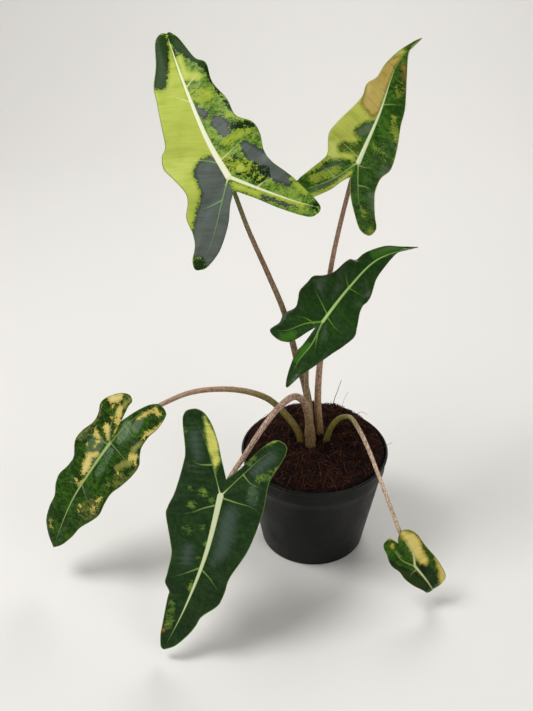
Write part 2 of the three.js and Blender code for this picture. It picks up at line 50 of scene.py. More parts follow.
LEAVES["upper_left"] = dict(
    junction=[-66, 0, 325], faces=[-5, 38], spin=25, slope=[[-60, -14], [0, 0], [60, 5], [123, 16]],
    fold=[8, 8], camber=[0.25, 0.25], wave=[[3, 3.5, 0.1], [3, 3.5, 0.4]], split=0.58,
    midrib=[[122, 2], [79, 4], [33, 4], [0, 0]],
    veins=[[[0, 0], [-14, 10], [-36, 26], [-53, 43]], [[0, 0], [-16, -16], [-33, -35], [-45, -51]]],
    margins=[[
        [123, 6], [118, 12], [100, 18], [84, 25], [70, 27], [52, 30], [37, 33], [32, 38], [23, 40],
        [12, 36], [0, 32], [-7, 33], [-16, 38], [-28, 38], [-37, 40], [-45, 45], [-51, 46], [-53, 43],
        [-53, 37], [-46, 25], [-32, 13], [-19, 6], [-11, 0],
    ], [
        [123, -1], [115, -5], [92, -10], [84, -16], [71, -15], [54, -20], [38, -21], [29, -30], [21, -32],
        [8, -30], [-3, -32], [-18, -41], [-38, -50], [-45, -51], [-48, -47], [-47, -40], [-35, -25],
        [-22, -12], [-11, 0],
    ]],
    laterals=[
        [[62, 5], [69, 13], [75, 22]], [[11, 2], [17, 11], [23, 24], [26, 31]],
        [[74, 3], [79, -6], [84, -12]], [[13, 1], [16, -8], [20, -18], [25, -27]],
        [[-14, 10], [-15, 21], [-14, 31]], [[-15, -15], [-13, -24], [-14, -33]],
    ],
    rib=[2.3, 0.7, 0.7, 1.3], ridge=0.05,
    patches=[
        ["lime", "left", ([[92, 10], [67, 14], [39, 24], [18, 31], [-10, 29], [-32, 39]], 30, 6)],
        ["deep", "left", ([[118, 7], [102, 13], [84, 20]], 5.5, 4)],
        ["slate", "left", ([[97, 12], [84, 20]], 3, 0.6),
         ([[7, 10], [-8, 14], [-22, 20], [-35, 29], [-44, 38], [-49, 43]], [12, 8.5, 12.5, 12, 12, 10], 6)],
        ["slate", "left inner", ([[-10, 3], [-26, 12], [-38, 23]], 8, 6)],
        ["deep", "left", ([[-49, 43]], 5, 1.5)],
        ["deep", "right", ([[119, 1], [107, -5], [92, -11], [83, -14]], [4, 5, 4.5, 3], 3),
         ([[112, 4], [103, 3], [88, 2], [80, 3]], 1.6, 1.5)],
        ["lime", "right", ([[98, 0], [83, 2], [77, -7]], [3, 4, 4], 3), ([[66, 1], [61, -7]], 4.5, 0.8)],
        ["deep", "right", ([[81, -16], [71, -15], [53, -18], [40, -21], [33, -26], [28, -30]], 1.5, 1)],
        ["lime", "right", ([[43, -15], [36, -20], [30, -29]], 1.4, 0.6)],
        ["slate", "right", ([[56, 3], [49, -1]], 3.2, 2.5), ([[39, -8], [31, -10]], 5.6, 4)],
        ["deep", "right", ([[31, -16], [28, -29]], 2.5, 1)],
        ["lime", "right", ([[23, -7], [24, -18], [24, -25]], 2.2, 0.7)],
        ["slate", "right", ([[15, -19], [5, -23], [-8, -29], [-19, -37]], [4, 7, 6.5, 4], 4)],
        ["deep", "right", ([[10, -3], [0, -13], [-8, -22]], 6, 0.1)],
        ["lime", "right", ([[9, -2], [-1, -17]], 5, -0.1), ([[2, -10]], 3.4, 1.5), ([[-10, -20]], 1.8, 0.8),
         ([[-20, -41], [-31, -46]], 2.5, 0.8)],
        ["lime", "right inner", ([[-7, -1], [-16, -11], [-27, -26], [-38, -39]], 2.8, 2.5)],
        ["slate", "right inner", ([[-22, -16], [-33, -29], [-39, -37]], 1.5, 1.2)],
        ["deep", "right", ([[-43, -49]], 2.4, 0)],
    ],
    petiole=dict(radii=[3.6, 1.6], taper=1.6, path=[
        [-5, 3.5, 99], [-5, 2, 125], [-9, 2, 150], [-15, 2, 171], [-26, 1, 216], [-38, 1, 248],
        [-53, 4, 284], [-61, 8, 306],
    ]),
)

LEAVES["upper_right"] = dict(
    junction=[26, 20, 328], faces=[-12, 40], spin=-20, slope=[[-45, -12], [0, 0], [50, 5], [108, 14]],
    fold=[5, -28], camber=[0.2, 0.3], wave=[[3, 3.5, 0.3], [3, 3, 0]], split=0.6,
    midrib=[[108, 3], [79, 9], [39, 3], [0, 0]],
    veins=[[[0, 0], [-17, 10], [-30, 22], [-39, 35]], [[0, 0], [-15, -7], [-27, -14], [-44, -28]]],
    margins=[[
        [102, 8], [91, 14], [76, 17], [63, 17], [56, 22], [47, 21], [33, 23], [18, 27], [10, 29], [-2, 24],
        [-9, 24], [-20, 29], [-29, 34], [-39, 35], [-41, 24], [-35, 17], [-26, 9], [-17, 4], [-12, 0],
    ], [
        [98, 6], [89, 5], [75, -1], [54, -10], [39, -14], [23, -19], [9, -21], [-1, -18], [-12, -19],
        [-20, -22], [-29, -26], [-37, -30], [-44, -28], [-43, -21], [-34, -13], [-23, -5], [-12, 0],
    ]],
    laterals=[
        [[3, 1], [6, 10], [8, 17], [9, 23]], [[49, 5], [55, 11], [60, 17]], [[-2, -1], [-1, -6], [3, -12]],
        [[46, 4], [51, -3], [54, -7]], [[-17, 10], [-14, 18], [-15, 25]],
        [[-15, -7], [-13, -13], [-14, -18]],
    ],
    rib=[1.9, 1.5, 0.6, 0.6], ridge=0.05,
    patches=[
        ["lime", "left",
         ([[90, 10], [61, 11], [35, 17], [18, 20], [6, 19], [5, 10]], [4, 12, 14, 13, 12, 8], 5),
         ([[48, 19], [31, 23], [17, 27], [8, 26], [1, 23]], 4, 4)],
        ["pale", "left", ([[88, 10], [78, 11], [61, 11], [48, 10], [39, 8]], [1, 6, 12, 11, 4], 4)],
        ["deep", "left", ([[104, 6], [93, 12], [81, 16], [69, 18], [58, 22], [51, 22]], 1, 0.7)],
        ["slate", "left", ([[21, 8], [27, 4]], 4.5, 3)],
        ["deep", "left", ([[5, 15], [9, 5]], 3.2, 1)],
        ["lime", "left", ([[-5, 21], [-12, 24], [-20, 29]], 2.5, 1.4), ([[0, 4]], 2.5, 1.5)],
        ["slate", "left", ([[-6, 10], [-11, 15], [-16, 20]], 2, 2)],
        ["lime", "left", ([[-12, 12], [-24, 23]], 3, 0.3)],
        ["slate", "left inner", ([[-11, 6], [-20, 13], [-30, 19]], 2, 2)],
        ["lime", "left inner", ([[-10, 2], [-20, 6], [-28, 12], [-35, 18]], 1.9, 2.6)],
        ["pale", "right", ([[80, 4], [74, 0]], 1.5, 1.5)],
        ["lime", "right", ([[67, -1], [61, -1]], 3, -0.3),
         ([[42, -7], [35, -11], [29, -16]], [1.5, 2.6, 2], 0.6),
         ([[29, -18], [6, -23], [-8, -20]], 0.7, 0.8)],
        # Painted reflections of the lamps: soft grey-green sheen on the dark right half
        ["sheen", "right", ([[7, -19], [0, -18]], 6, 6), ([[-17, -19], [-25, -24]], 5.5, 6)],
        ["lime", "right", ([[-27, -15], [-33, -21]], 1.2, 0.1), ([[-42, -28]], 3, 0),
         ([[17, -7], [11, -13]], 2.5, -0.9)],
    ],
    petiole=dict(radii=[3.2, 1.6], taper=1.6, path=[
        [4.5, 4.5, 99], [2, 6, 128], [2, 8, 151], [4, 13, 180], [9, 22, 239], [14, 24, 271], [19, 26, 296],
        [23, 26, 315],
    ]),
)

LEAVES["middle"] = dict(
    junction=[2, -18, 219], faces=[0, 45], spin=-51, slope=[[-54, -16], [0, 0], [50, 6], [99, 20]],
    fold=[6, 6], camber=[0.35, 0.35], wave=[[2.5, 3, 0], [2.5, 3, 0.3]], split=0.6,
    midrib=[[99, 2], [65, 12], [32, 8], [0, 0]],
    veins=[[[0, 0], [-11, 7], [-25, 12], [-34, 20]], [[0, 0], [-17, -8], [-34, -12], [-51, -21]]],
    margins=[[
        [86, 10], [76, 17], [61, 22], [52, 22], [48, 25], [42, 25], [31, 24], [24, 27], [18, 32], [11, 31],
        [2, 29], [-4, 24], [-9, 21], [-18, 23], [-25, 20], [-34, 20], [-34, 11], [-29, 4], [-23, 2],
        [-14, 1], [-7, 0],
    ], [
        [85, 7], [77, 7], [64, 4], [52, 0], [41, -7], [36, -9], [32, -9], [26, -12], [16, -20], [10, -24],
        [0, -24], [-8, -23], [-24, -22], [-39, -21], [-51, -21], [-49, -17], [-39, -10], [-29, -5],
        [-22, -4], [-7, 0],
    ]],
    laterals=[
        [[6, 1], [9, 13], [12, 24]], [[5, 1], [4, -9], [6, -20]], [[32, 8], [35, 14], [40, 22]],
        [[32, 8], [34, 2], [37, -6]], [[-6, 3], [-8, 10], [-14, 17]], [[-9, -5], [-16, -11], [-22, -16]],
    ],
    rib=[1.2, 0.5, 0.75, 0.75], ridge=0.03,
    patches=[
        ["lime", "left inner", ([[-24, 7], [-30, 9]], 3.5, 2)],
        ["lime", "right inner", ([[-20, -7], [-32, -10]], 3, 2)],
        ["lime", "both", ([[66, 17], [75, 13], [86, 9]], 4, 2)],
    ],
    petiole=dict(radii=[2.6, 1.5], taper=1.6, path=[
        [-1.5, -3.5, 99], [-4.5, -4.5, 124], [-8, -6, 152], [-8, -9, 179], [-4, -13, 203],
    ]),
)

LEAVES["low_left"] = dict(
    junction=[-161, -35, 120], faces=[-32, 36], spin=169, slope=[[-50, 4], [0, 0], [45, 8], [102, 18]],
    fold=[8, 8], camber=[0.3, 0.3], wave=[[2.5, 3, 0.2], [2.5, 3, 0.5]], split=0.6,
    midrib=[[103, -12], [60, -10], [28, -5], [0, 0]],
    veins=[[[0, 0], [-19, 6], [-37, 16], [-44, 34]], [[0, 0], [-11, -6], [-22, -8], [-38, -12]]],
    margins=[[
        [95, -4], [84, 2], [73, 6], [59, 16], [50, 21], [40, 21], [32, 21], [22, 26], [9, 32], [0, 34],
        [-7, 30], [-12, 27], [-21, 28], [-32, 33], [-44, 34], [-48, 26], [-45, 19], [-39, 13], [-31, 7],
        [-20, 0],
    ], [
        [96, -21], [86, -27], [73, -27], [61, -25], [52, -29], [45, -31], [35, -27], [25, -24], [15, -27],
        [9, -28], [2, -27], [-7, -23], [-16, -22], [-23, -23], [-30, -20], [-38, -12], [-41, -4], [-38, 1],
        [-33, 0], [-28, 0], [-20, 0],
    ]],
    laterals=[
        [[-1, 0], [1, 9], [3, 20], [4, 26]], [[2, 0], [1, -12], [4, -20]], [[42, -8], [44, -16], [49, -25]],
        [[40, -8], [47, 2], [50, 12]], [[-19, 6], [-16, 14], [-16, 22]],
    ],
    rib=[1.4, 0.6, 0.6, 0.7], ridge=0.06,
    patches=[
        ["slate", "right", ([[5, -10], [11, -11]], 6, 0.4)],
        ["pale", "right", ([[-31, -15], [-36, -10]], [3.8, 2.8], 3)],
        ["lime", "right inner", ([[-36, -2], [-32, -3]], [4.5, 3], 3)],
        ["deep", "right inner", ([[-37, -4]], 1, 1.1)],
        ["pale", "right inner",
         ([[-29, -6], [-23, -4], [-18, -3], [-16, 1], [-10, 1], [-4, 1]], [2.2, 2.8, 2.9, 2.7, 1.8, 1], 1.2)],
        ["pale", "right", ([[-10, -9], [-6, -6], [-2, -3]], [3.1, 2.1, 0.7], 3), ([[-26, -13]], 1.2, 0.6),
         ([[-18, -9]], 1, 0.6)],
        ["lime", "right", ([[-23, -21], [-12, -20], [-5, -22], [7, -26], [12, -28]], 1, 0.8),
         ([[8, -25], [1, -22]], 3, -0.1)],
        ["pale", "right", ([[-3, -17], [0, -14], [1, -11]], [1.5, 2.2, 1.4], 1.2), ([[4, -10]], 1.3, 1),
         ([[10, -17]], 0.9, 0.8), ([[9, -10]], 1.1, 0.8),
         ([[12, -6], [18, -11], [23, -10], [29, -10], [33, -10]], [1.4, 3, 3.6, 2.4, 0.9], 3)],
        ["slate", "right", ([[18, -6]], 1.8, 2.2)],
        ["pale", "right", ([[37, -7], [42, -10]], 1.2, 1), ([[40, -13]], 1.3, 0.8)],
        ["slate", "right", ([[40, -18]], 1.4, 0.3)],
        ["pale", "right", ([[83, -22], [87, -20]], 0.6, 0.6)],
        # A painted reflection of the lamps: soft grey-green sheen by the junction
        ["sheen", "left", ([[-19, 11], [-9, 9]], 8, 6)],
        ["slate", "left", ([[-20, 7], [-12, 7], [-7, 7]], [4, 5, 3], 0.8),
         ([[-29, 16], [-22, 15]], [3, 4], 0.8)],
        ["pale", "left", ([[-43, 24], [-38, 19], [-32, 15], [-28, 12]], [2, 1.5, 1.1, 0.7], 1),
         ([[-42, 27]], 2, 0.5), ([[-37, 34], [-30, 32], [-24, 27], [-18, 24]], [1, 1.4, 1.4, 0.9], 2)],
        ["lime", "left", ([[-14, 25], [-9, 23], [-4, 24]], [2, 3, 3.5], 2)],
        ["pale", "left", ([[-1, 24], [-4, 28], [1, 30]], [2.8, 1.8, 1], 1.6)],
        ["lime", "left", ([[12, 17], [6, 21], [3, 26]], [3.6, 3.5, 2.6], 2)],
        ["pale", "left", ([[15, 19]], 1.2, 1)],
        ["lime", "left", ([[2, 33], [12, 31], [22, 26], [30, 22]], 1.2, 0.4), ([[19, 23]], 6, 0),
         ([[28, 16]], 2, 0.8)],
        ["pale", "left", ([[39, 16], [43, 14]], 0.9, 0.8), ([[48, 15], [52, 13]], 2, -0.2),
         ([[56, 0]], 0.7, 0.5), ([[60, 1]], 0.4, 0.3)],
        ["lime", "left", ([[57, 6], [48, 13]], 6, -0.1)],
        ["slate", "left", ([[5, 4], [16, 4], [24, 3]], 3, 0.2)],
    ],
    petiole=dict(radii=[3.4, 1.7], taper=2, path=[
        [-11, -6, 99], [-15, -7, 113], [-25, -9, 130], [-38, -12, 146], [-54, -15, 155], [-75, -19, 160],
        [-98, -21, 158], [-120, -22, 148], [-138, -24, 138], [-153, -28, 126],
    ]),
)

LEAVES["front"] = dict(
    junction=[-73, -92, 115], faces=[-18, 34], spin=170, slope=[[-56, 6], [0, 0], [60, 4], [128, 8]],
    fold=[10, 10], camber=[0.3, 0.3], wave=[[3, 4, 0.1], [3, 4, 0.6]], split=0.68,
    midrib=[[124, -4], [86, 2], [43, 4], [0, 0]],
    veins=[[[0, 0], [-21, 11], [-40, 22], [-52, 35]], [[0, 0], [-19, -13], [-38, -28], [-51, -44]]],
    margins=[[
        [117, 4], [107, 10], [97, 14], [87, 17], [76, 25], [71, 26], [62, 27], [51, 28], [31, 33], [10, 34],
        [-6, 34], [-23, 32], [-35, 34], [-46, 36], [-52, 35], [-54, 28], [-50, 22], [-39, 15], [-25, 8],
        [-13, 0],
    ], [
        [123, -7], [115, -9], [104, -10], [85, -13], [81, -14], [75, -18], [66, -18], [54, -20], [46, -25],
        [29, -34], [21, -34], [10, -33], [-10, -35], [-22, -37], [-41, -45], [-48, -46], [-51, -44],
        [-54, -38], [-53, -31], [-47, -23], [-37, -15], [-27, -9], [-13, 0],
    ]],
    laterals=[
        [[7, 0], [13, -9], [19, -16], [25, -28]], [[1, 0], [0, 13], [-1, 23], [0, 31]],
        [[56, 2], [62, -5], [70, -15]], [[55, 3], [60, 14], [68, 24]], [[-21, 11], [-17, 19], [-17, 28]],
        [[-19, -14], [-16, -23], [-17, -32]],
    ],
    rib=[2.45, 0.9, 0.5, 0.5], ridge=0.13,
    patches=[
        # Painted reflections of the lamps: soft bluish-grey sheen on the lobes and both halves
        ["sheen", "right", ([[-35, -33], [-21, -26]], 7, 7)],
        ["sheen", "left", ([[-41, 27], [-27, 19]], 7, 7),
         ([[10, 12], [21, 13], [35, 15], [46, 12]], [9, 10, 9, 6], 9)],
        ["sheen", "right", ([[45, -9], [54, -8]], 7, 7)],
        ["lime", "right inner",
         ([[-50, -30], [-44, -25], [-37, -20], [-30, -16], [-24, -12], [-18, -11], [-12, -8]],
          [2.4, 3.6, 5, 5.2, 4, 1.8, 1.1], 3.4)],
        ["lime", "left inner", ([[-54, 27], [-51, 24], [-48, 20]], 1, 1.2),
         ([[-37, 14], [-30, 12]], 1.8, 0.2)],
        ["lime", "left", ([[-34, 33]], 1.6, 0.8), ([[-29, 30], [-22, 24]], 2.4, -0.2)],
        # A painted reflection, and on it a painted highlight: the bright slate spot below
        ["sheen", "left", ([[-14, 22], [-6, 24]], 6, 6)],
        ["slate", "left", ([[-13, 23], [-6, 24]], 3.6, -0.3)],
        ["lime", "right", ([[3, -23]], 1.7, 0.1), ([[2, -13]], 2.6, 0.3), ([[13, -18]], 2.6, 0.4),
         ([[5, -5]], 1.6, 0.2), ([[-36, -42]], 1.4, 0.4), ([[37, 2]], 1.6, 1), ([[48, -1]], 1, 0.3),
         ([[67, 1], [73, 1]], 1.6, 0.8), ([[26, -4]], 0.9, 0.8), ([[33, -16]], 4, -0.4),
         ([[88, -8], [99, -6], [105, -6]], [2, 3, 2], 0.2)],
        ["pale", "right", ([[109, -8]], 1, 0.8)],
    ],
    petiole=dict(radii=[4.6, 1.9], taper=2.2, path=[
        [-4, -11, 99], [-5, -14, 118], [-7, -19, 137], [-12, -25, 154], [-19, -31, 161], [-30, -42, 159],
        [-42, -54, 149], [-55, -67, 134], [-64, -79, 126],
    ]),
)

LEAVES["low_right"] = dict(
    junction=[75, -88, 42], faces=[14, 22], spin=-150,
    slope=[[-32, -16], [0, 0], [24, 12], [34, 75], [43, 112]], fold=[8, -16], camber=[0.4, 0.4],
    wave=[[1.2, 2.5, 0.2], [1.2, 2.5, 0.5]], split=0.55,
    midrib=[[42, 0], [29, 1], [15, 1], [0, 0]],
    veins=[[[0, 0], [-10, 5], [-18, 5], [-28, 5]], [[0, 0], [-9, -5], [-17, -6], [-30, -6]]],
    margins=[[
        [38, 8], [32, 12], [24, 16], [13, 17], [4, 17], [-7, 16], [-13, 16], [-19, 16], [-25, 14],
        [-28, 11], [-29, 8], [-28, 5], [-26, 2], [-23, 0],
    ], [
        [37, -3], [30, -4], [22, -6], [13, -10], [5, -12], [-2, -12], [-9, -14], [-15, -14], [-21, -12],
        [-26, -11], [-29, -9], [-30, -6], [-30, -3], [-26, -1], [-23, 0],
    ]],
    laterals=[[[3, 0], [4, -5], [7, -9]]],
    rib=[1.1, 0.8, 1, 0.6], ridge=0.05,
    patches=[
        ["pale", "left",
         ([[-27, 8], [-21, 10], [-16, 10], [-11, 9], [-5, 8], [0, 8], [3, 8]],
          [3.2, 4.8, 5.4, 5, 4.6, 4.2, 2.2], 4)],
        ["slate", "left", ([[9, 6], [16, 5], [22, 5]], [4, 5, 4], 1)],
        ["pale", "left", ([[4, 17], [11, 16], [18, 16], [25, 13], [38, 10]], [1.5, 3, 4.5, 5, 3.5], 3)],
        # Painted shadow: a dark streak beside the midrib
        ["deep", "left", ([[4, 4], [9, 3]], 1.6, 0.5)],
        ["pale", "right", ([[-31, -4], [-29, -2]], 0.9, 0.5), ([[-25, -4], [-23, -5]], 1, 0.8)],
        ["lime", "right", ([[-22, -5], [-18, -5], [-13, -5]], [0.7, 1, 1.1], 1)],
        # Painted shade: the dark of the right half, which turns down away from the light
        ["deep", "right", ([[-13, -15], [-3, -12], [7, -9], [19, -4]], [3, 5, 7, 6], 3)],
    ],
    petiole=dict(radii=[3.3, 1.5], taper=4.5, path=[
        [9, -4, 99], [14, -9, 120], [20, -14, 130], [26, -20, 134], [32, -26, 128], [39, -36, 117],
        [47, -50, 101], [57, -65, 79], [63, -73, 65], [69, -80, 53],
    ]),
)

# Leaf colours, sRGB 0 to 255: three tones of the ground, two of each kind of patch that the leaf
# has, one of the sheen, and the rest. The sheen is a painted reflection of the lamps on the blade.
# slate_vein: side veins on slate. ragged: how far broad, middle and fine noise moves a border, in mm.
# soft: half-width of borders, fade: that of the pale patches. gloss: lowest and highest roughness.
# shine: specular level.
LEAF_COLOURS = {
    "upper_left": dict(
        ground=[(50, 80, 22), (94, 127, 42), (136, 160, 66)], slate=[(58, 65, 58), (88, 96, 90)],
        deep=[(14, 38, 2), (30, 58, 8)], lime=[(140, 160, 46), (178, 189, 84)], rib=(228, 230, 202),
        vein=(202, 210, 136), slate_vein=(116, 150, 92), margin=(104, 132, 54), under=(150, 166, 100),
        ragged=(4, 4, 5), soft=0.3, gloss=(0.36, 0.5), shine=0.1,
    ),
    "upper_right": dict(
        # The sheen here is a painted reflection of the lamps on the dark right half
        ground=[(24, 52, 4), (38, 72, 10), (62, 100, 22)], sheen=(112, 124, 102),
        slate=[(50, 70, 42), (84, 102, 70)], deep=[(50, 72, 14), (78, 98, 28)],
        lime=[(114, 132, 38), (168, 174, 76)], pale=[(116, 98, 38), (174, 153, 80)], rib=(200, 208, 168),
        vein=(128, 150, 76), margin=(156, 158, 88), under=(120, 136, 84), ragged=(4, 5, 6), soft=0.5,
        fade=3.5, gloss=(0.36, 0.48), shine=0.12,
    ),
    "middle": dict(
        ground=[(16, 44, 1), (21, 52, 3), (29, 66, 6)], lime=[(44, 88, 8), (54, 100, 14)],
        rib=(168, 196, 118), vein=(104, 146, 48), margin=(92, 84, 60), under=(76, 102, 60),
        ragged=(4, 4, 4), soft=1.6, gloss=(0.28, 0.36), shine=0.22,
    ),
    "low_left": dict(
        # The sheen here is a painted reflection of the lamps by the junction
        ground=[(17, 38, 2), (31, 62, 6), (58, 94, 17)], sheen=(84, 106, 76),
        slate=[(80, 104, 74), (136, 154, 116)], deep=[(16, 34, 4), (26, 48, 10)],
        lime=[(98, 106, 46), (146, 150, 66)], pale=[(190, 172, 84), (214, 202, 132)], rib=(158, 176, 110),
        vein=(120, 142, 92), margin=(74, 96, 36), under=(104, 122, 74), ragged=(3, 4, 7), soft=0.25,
        fade=0.25, gloss=(0.36, 0.5), shine=0.12,
    ),
    "front": dict(
        # The sheen here is a painted reflection of the lamps
        ground=[(20, 42, 12), (26, 50, 18), (36, 62, 24)], sheen=(76, 92, 82),
        # slate here is a painted highlight: one bright spot laid on the sheen
        slate=[(66, 92, 58), (110, 134, 94)], lime=[(78, 106, 40), (206, 204, 100)],
        pale=[(140, 104, 46), (164, 120, 56)], rib=(204, 212, 170), vein=(124, 150, 80),
        margin=(92, 118, 46), under=(92, 112, 72), ragged=(4, 5, 6), soft=0.5, fade=0.3, gloss=(0.38, 0.5),
        shine=0.14,
    ),
    "low_right": dict(
        ground=[(22, 52, 2), (36, 70, 4), (58, 96, 16)], slate=[(18, 42, 6), (32, 64, 12)],
        # deep here is painted shade: the turned-down right half and a painted shadow by the midrib
        deep=[(18, 30, 4), (34, 54, 10)], lime=[(96, 122, 54), (124, 142, 76)],
        pale=[(148, 134, 42), (210, 194, 110)], rib=(196, 200, 150), vein=(150, 160, 96),
        margin=(112, 118, 52), under=(110, 124, 70), ragged=(3, 3, 3), soft=0.35, fade=0.5,
        gloss=(0.36, 0.48), shine=0.12,
    ),
}

# Petiole colours from foot to top, sRGB: share of the length, ground and mottle
PETIOLE_COLOURS = {
    "upper_left": [
        (0, (123, 117, 52), (102, 67, 44)), (0.3, (140, 123, 82), (96, 61, 46)),
        (0.8, (144, 123, 88), (102, 67, 52)), (0.92, (100, 116, 48), (90, 78, 42)),
    ],
    "upper_right": [
        (0, (159, 138, 71), (123, 88, 59)), (0.3, (182, 149, 118), (134, 96, 82)),
        (0.9, (180, 149, 122), (134, 98, 84)), (1, (163, 152, 102), (132, 105, 73)),
    ],
    "middle": [
        (0, (134, 123, 65), (105, 73, 50)), (0.5, (146, 129, 85), (111, 76, 59)),
        (1, (102, 134, 50), (94, 102, 44)),
    ],
    "low_left": [
        (0, (134, 120, 61), (111, 79, 46)), (0.3, (112, 122, 40), (110, 80, 50)),
        (0.55, (166, 140, 106), (126, 90, 74)), (1, (196, 166, 142), (146, 112, 98)),
    ],
    "front": [
        (0, (134, 117, 59), (96, 65, 44)), (0.3, (146, 120, 88), (106, 74, 60)),
        (0.6, (188, 160, 134), (120, 86, 72)), (1, (200, 176, 146), (134, 104, 86)),
    ],
    "low_right": [
        (0, (123, 109, 59), (94, 67, 44)), (0.28, (123, 126, 35), (105, 96, 41)),
        (0.42, (226, 200, 174), (148, 118, 96)), (1, (218, 200, 164), (150, 120, 96)),
    ],
}

# Sheet of a blade
HALF_THICKNESS = 0.32
HALF_MARGIN = 0.12
MARGIN_TAPER = 2.0
FOLD_ROUNDING = 5
RIB_DEPTH = 1.5
RIB_CREST = 0.4
VEIN_DEPTH = 0.5
VEIN_CREST = 0.16
LAMINA_SWELL = 0.9
WELD_DISTANCE = 0.002

# Veins: points on them, and how far below zero their half-widths run, so that they end in a point
MIDRIB_POINTS = 41
LATERAL_POINTS = 16
MIDRIB_END = 0.4
VEIN_END = 0.3
LATERAL_END = 0.1
# Share of a basal vein over which the thick rib forks and runs out
FORK_SHARE = 0.22
# Half-width from which a basal vein is a thick rib itself
THICK_VEIN = 0.8

# Cross ridges: how far they lean back from the midrib, their waves in radians a mm, and their sway
RIDGE_LEAN = 0.35
RIDGE_WAVE = 1.45
RIDGE_SWAY = 1.5
RIDGE_SWAY_WAVE = 0.23

# Rows of points from tip to junction and on to the lobe's end, and between that and the sinus
OUTER_ROWS = [150, 110]
INNER_ROWS = 100
# Columns from vein to margin, as shares: outer and inner strips
COLUMNS = [np.linspace(0, 1, 30) ** 1.3, np.linspace(0, 1, 14) ** 1.2]

# Kinds of patch; the sheen kind is a painted reflection of the lamps on the blade
PATCH_KINDS = ["sheen", "slate", "deep", "lime", "pale"]
# Value where there is no patch
NO_PATCH = -20.0
# Value that a patch of one half keeps at the midrib, so that it ends there in a clean line
RIB_BORDER = 0.5
# Solidity from which a patch hides the others
COVERING = 1


def linear(colour):
    """An sRGB colour, 0 to 255, as linear RGBA."""
    parts = [c / 255 for c in colour]
    return [p / 12.92 if p <= 0.04045 else ((p + 0.055) / 1.055) ** 2.4 for p in parts] + [1.0]


def smoothstep(low, high, x):
    t = np.clip((x - low) / (high - low), 0, 1)
    return t * t * (3 - 2 * t)


# Meshes


def mesh_object(name, points, faces, fields=(), vectors=(), smooth=True):
    """A mesh piece. Points and vector fields are in millimetres, other fields plain numbers."""
    mesh = bpy.data.meshes.new(name)
    mesh.from_pydata((np.asarray(points) * MM).tolist(), [], [list(f) for f in faces])
    mesh.update()
    for key, values in dict(fields).items():
        mesh.attributes.new(key, "FLOAT", "POINT").data.foreach_set("value", np.asarray(values, np.float32))
    for key, values in dict(vectors).items():
        flat = np.asarray(values, np.float32).ravel()
        mesh.attributes.new(key, "FLOAT_VECTOR", "POINT").data.foreach_set("vector", flat)
    if smooth:
        mesh.polygons.foreach_set("use_smooth", [True] * len(mesh.polygons))
    piece = bpy.data.objects.new(name, mesh)
    bpy.context.scene.collection.objects.link(piece)
    return piece


def distinct(ring):
    """The corners of a face without those that fall on the one before."""
    return [p for k, p in enumerate(ring) if p != ring[k - 1]]


def band(low, high, sides, turned=False):
    """Quads between two rings of points, given the first point of each."""
    faces = []
    for k in range(sides):
        n = (k + 1) % sides
        quad = [low + k, high + k, high + n, low + n] if turned else [low + k, low + n, high + n, high + k]
        faces.append(quad)
    return faces


def round_angles(sides):
    return np.arange(sides) * 2 * np.pi / sides


def circle(radius, z, sides):
    return [(radius * math.cos(a), radius * math.sin(a), z) for a in round_angles(sides)]


def vertex_normals(points, quads):
    """Area-weighted vertex normals of a sheet of quads."""
    a, b, c, d = (points[quads[:, k]] for k in range(4))
    face = np.cross(c - a, d - b)
    normals = np.zeros_like(points)
    for k in range(4):
        np.add.at(normals, quads[:, k], face)
    return normals / np.maximum(np.linalg.norm(normals, axis=1, keepdims=True), 1e-12)


def catmull(points, t):
    """Uniform Catmull-Rom spline through flat points, at t in 0 to 1."""
    p = np.asarray(points, float)
    last = len(p) - 1
    t = np.atleast_1d(t) * last
    i = np.minimum(np.floor(t).astype(int), last - 1)
    w = (t - i)[:, None]
    before, a, b, after = p[np.maximum(i - 1, 0)], p[i], p[i + 1], p[np.minimum(i + 2, last)]
    start, end = (b - before) / 2, (after - a) / 2
    return (2 * a - 2 * b + start + end) * w**3 + (3 * b - 3 * a - 2 * start - end) * w**2 + start * w + a


def line_field(flat, line, radii):
    """For each flat point, the largest of radius minus distance along a line, in millimetres."""
    line = np.asarray(line, float)
    radii = np.broadcast_to(np.asarray(radii, float), len(line))
    if len(line) == 1:
        return radii[0] - np.linalg.norm(flat - line[0], axis=1)
    best = np.full(len(flat), -1e9)
    for a, b, ra, rb in zip(line[:-1], line[1:], radii[:-1], radii[1:]):
        along = b - a
        t = np.clip((flat - a) @ along / max(along @ along, 1e-9), 0, 1)
        reach = ra + (rb - ra) * t - np.linalg.norm(flat - a - t[:, None] * along, axis=1)
        best = np.maximum(best, reach)
    return best


# Blades


def leaf_axes(leaf):
    """The leaf's own axes: towards the tip, to the left, and out of the upper face."""
    azimuth, elevation = np.radians(leaf["faces"])
    out = np.array([
        math.cos(elevation) * math.sin(azimuth),
        -math.cos(elevation) * math.cos(azimuth),
        math.sin(elevation),
    ])
    up_slope = np.array([0, 0, 1]) - out[2] * out
    up_slope /= np.linalg.norm(up_slope)
    spin = math.radians(leaf["spin"])
    tip = math.cos(spin) * up_slope + math.sin(spin) * np.cross(out, up_slope)
    return tip, np.cross(out, tip), out


def along_dip(slope, x):
    """Forward, down and tilt at x of the dipping midrib line that starts at the junction."""
    step = 0.5
    stations = np.arange(-80, 160, step)
    tilt = np.radians(np.interp(stations + step / 2, [s[0] for s in slope], [s[1] for s in slope]))
    forward = np.concatenate([[0], np.cumsum(np.cos(tilt) * step)])
    down = np.concatenate([[0], np.cumsum(np.sin(tilt) * step)])
    ends = np.append(stations, stations[-1] + step)
    start = np.searchsorted(ends, 0)
    at = np.radians(np.interp(x, [s[0] for s in slope], [s[1] for s in slope]))
    return np.interp(x, ends, forward - forward[start]), np.interp(x, ends, down - down[start]), at


def midrib_height(leaf, x):
    line = catmull(leaf["midrib"], np.linspace(0, 1, MIDRIB_POINTS))[::-1]
    return np.interp(x, line[:, 0], line[:, 1])


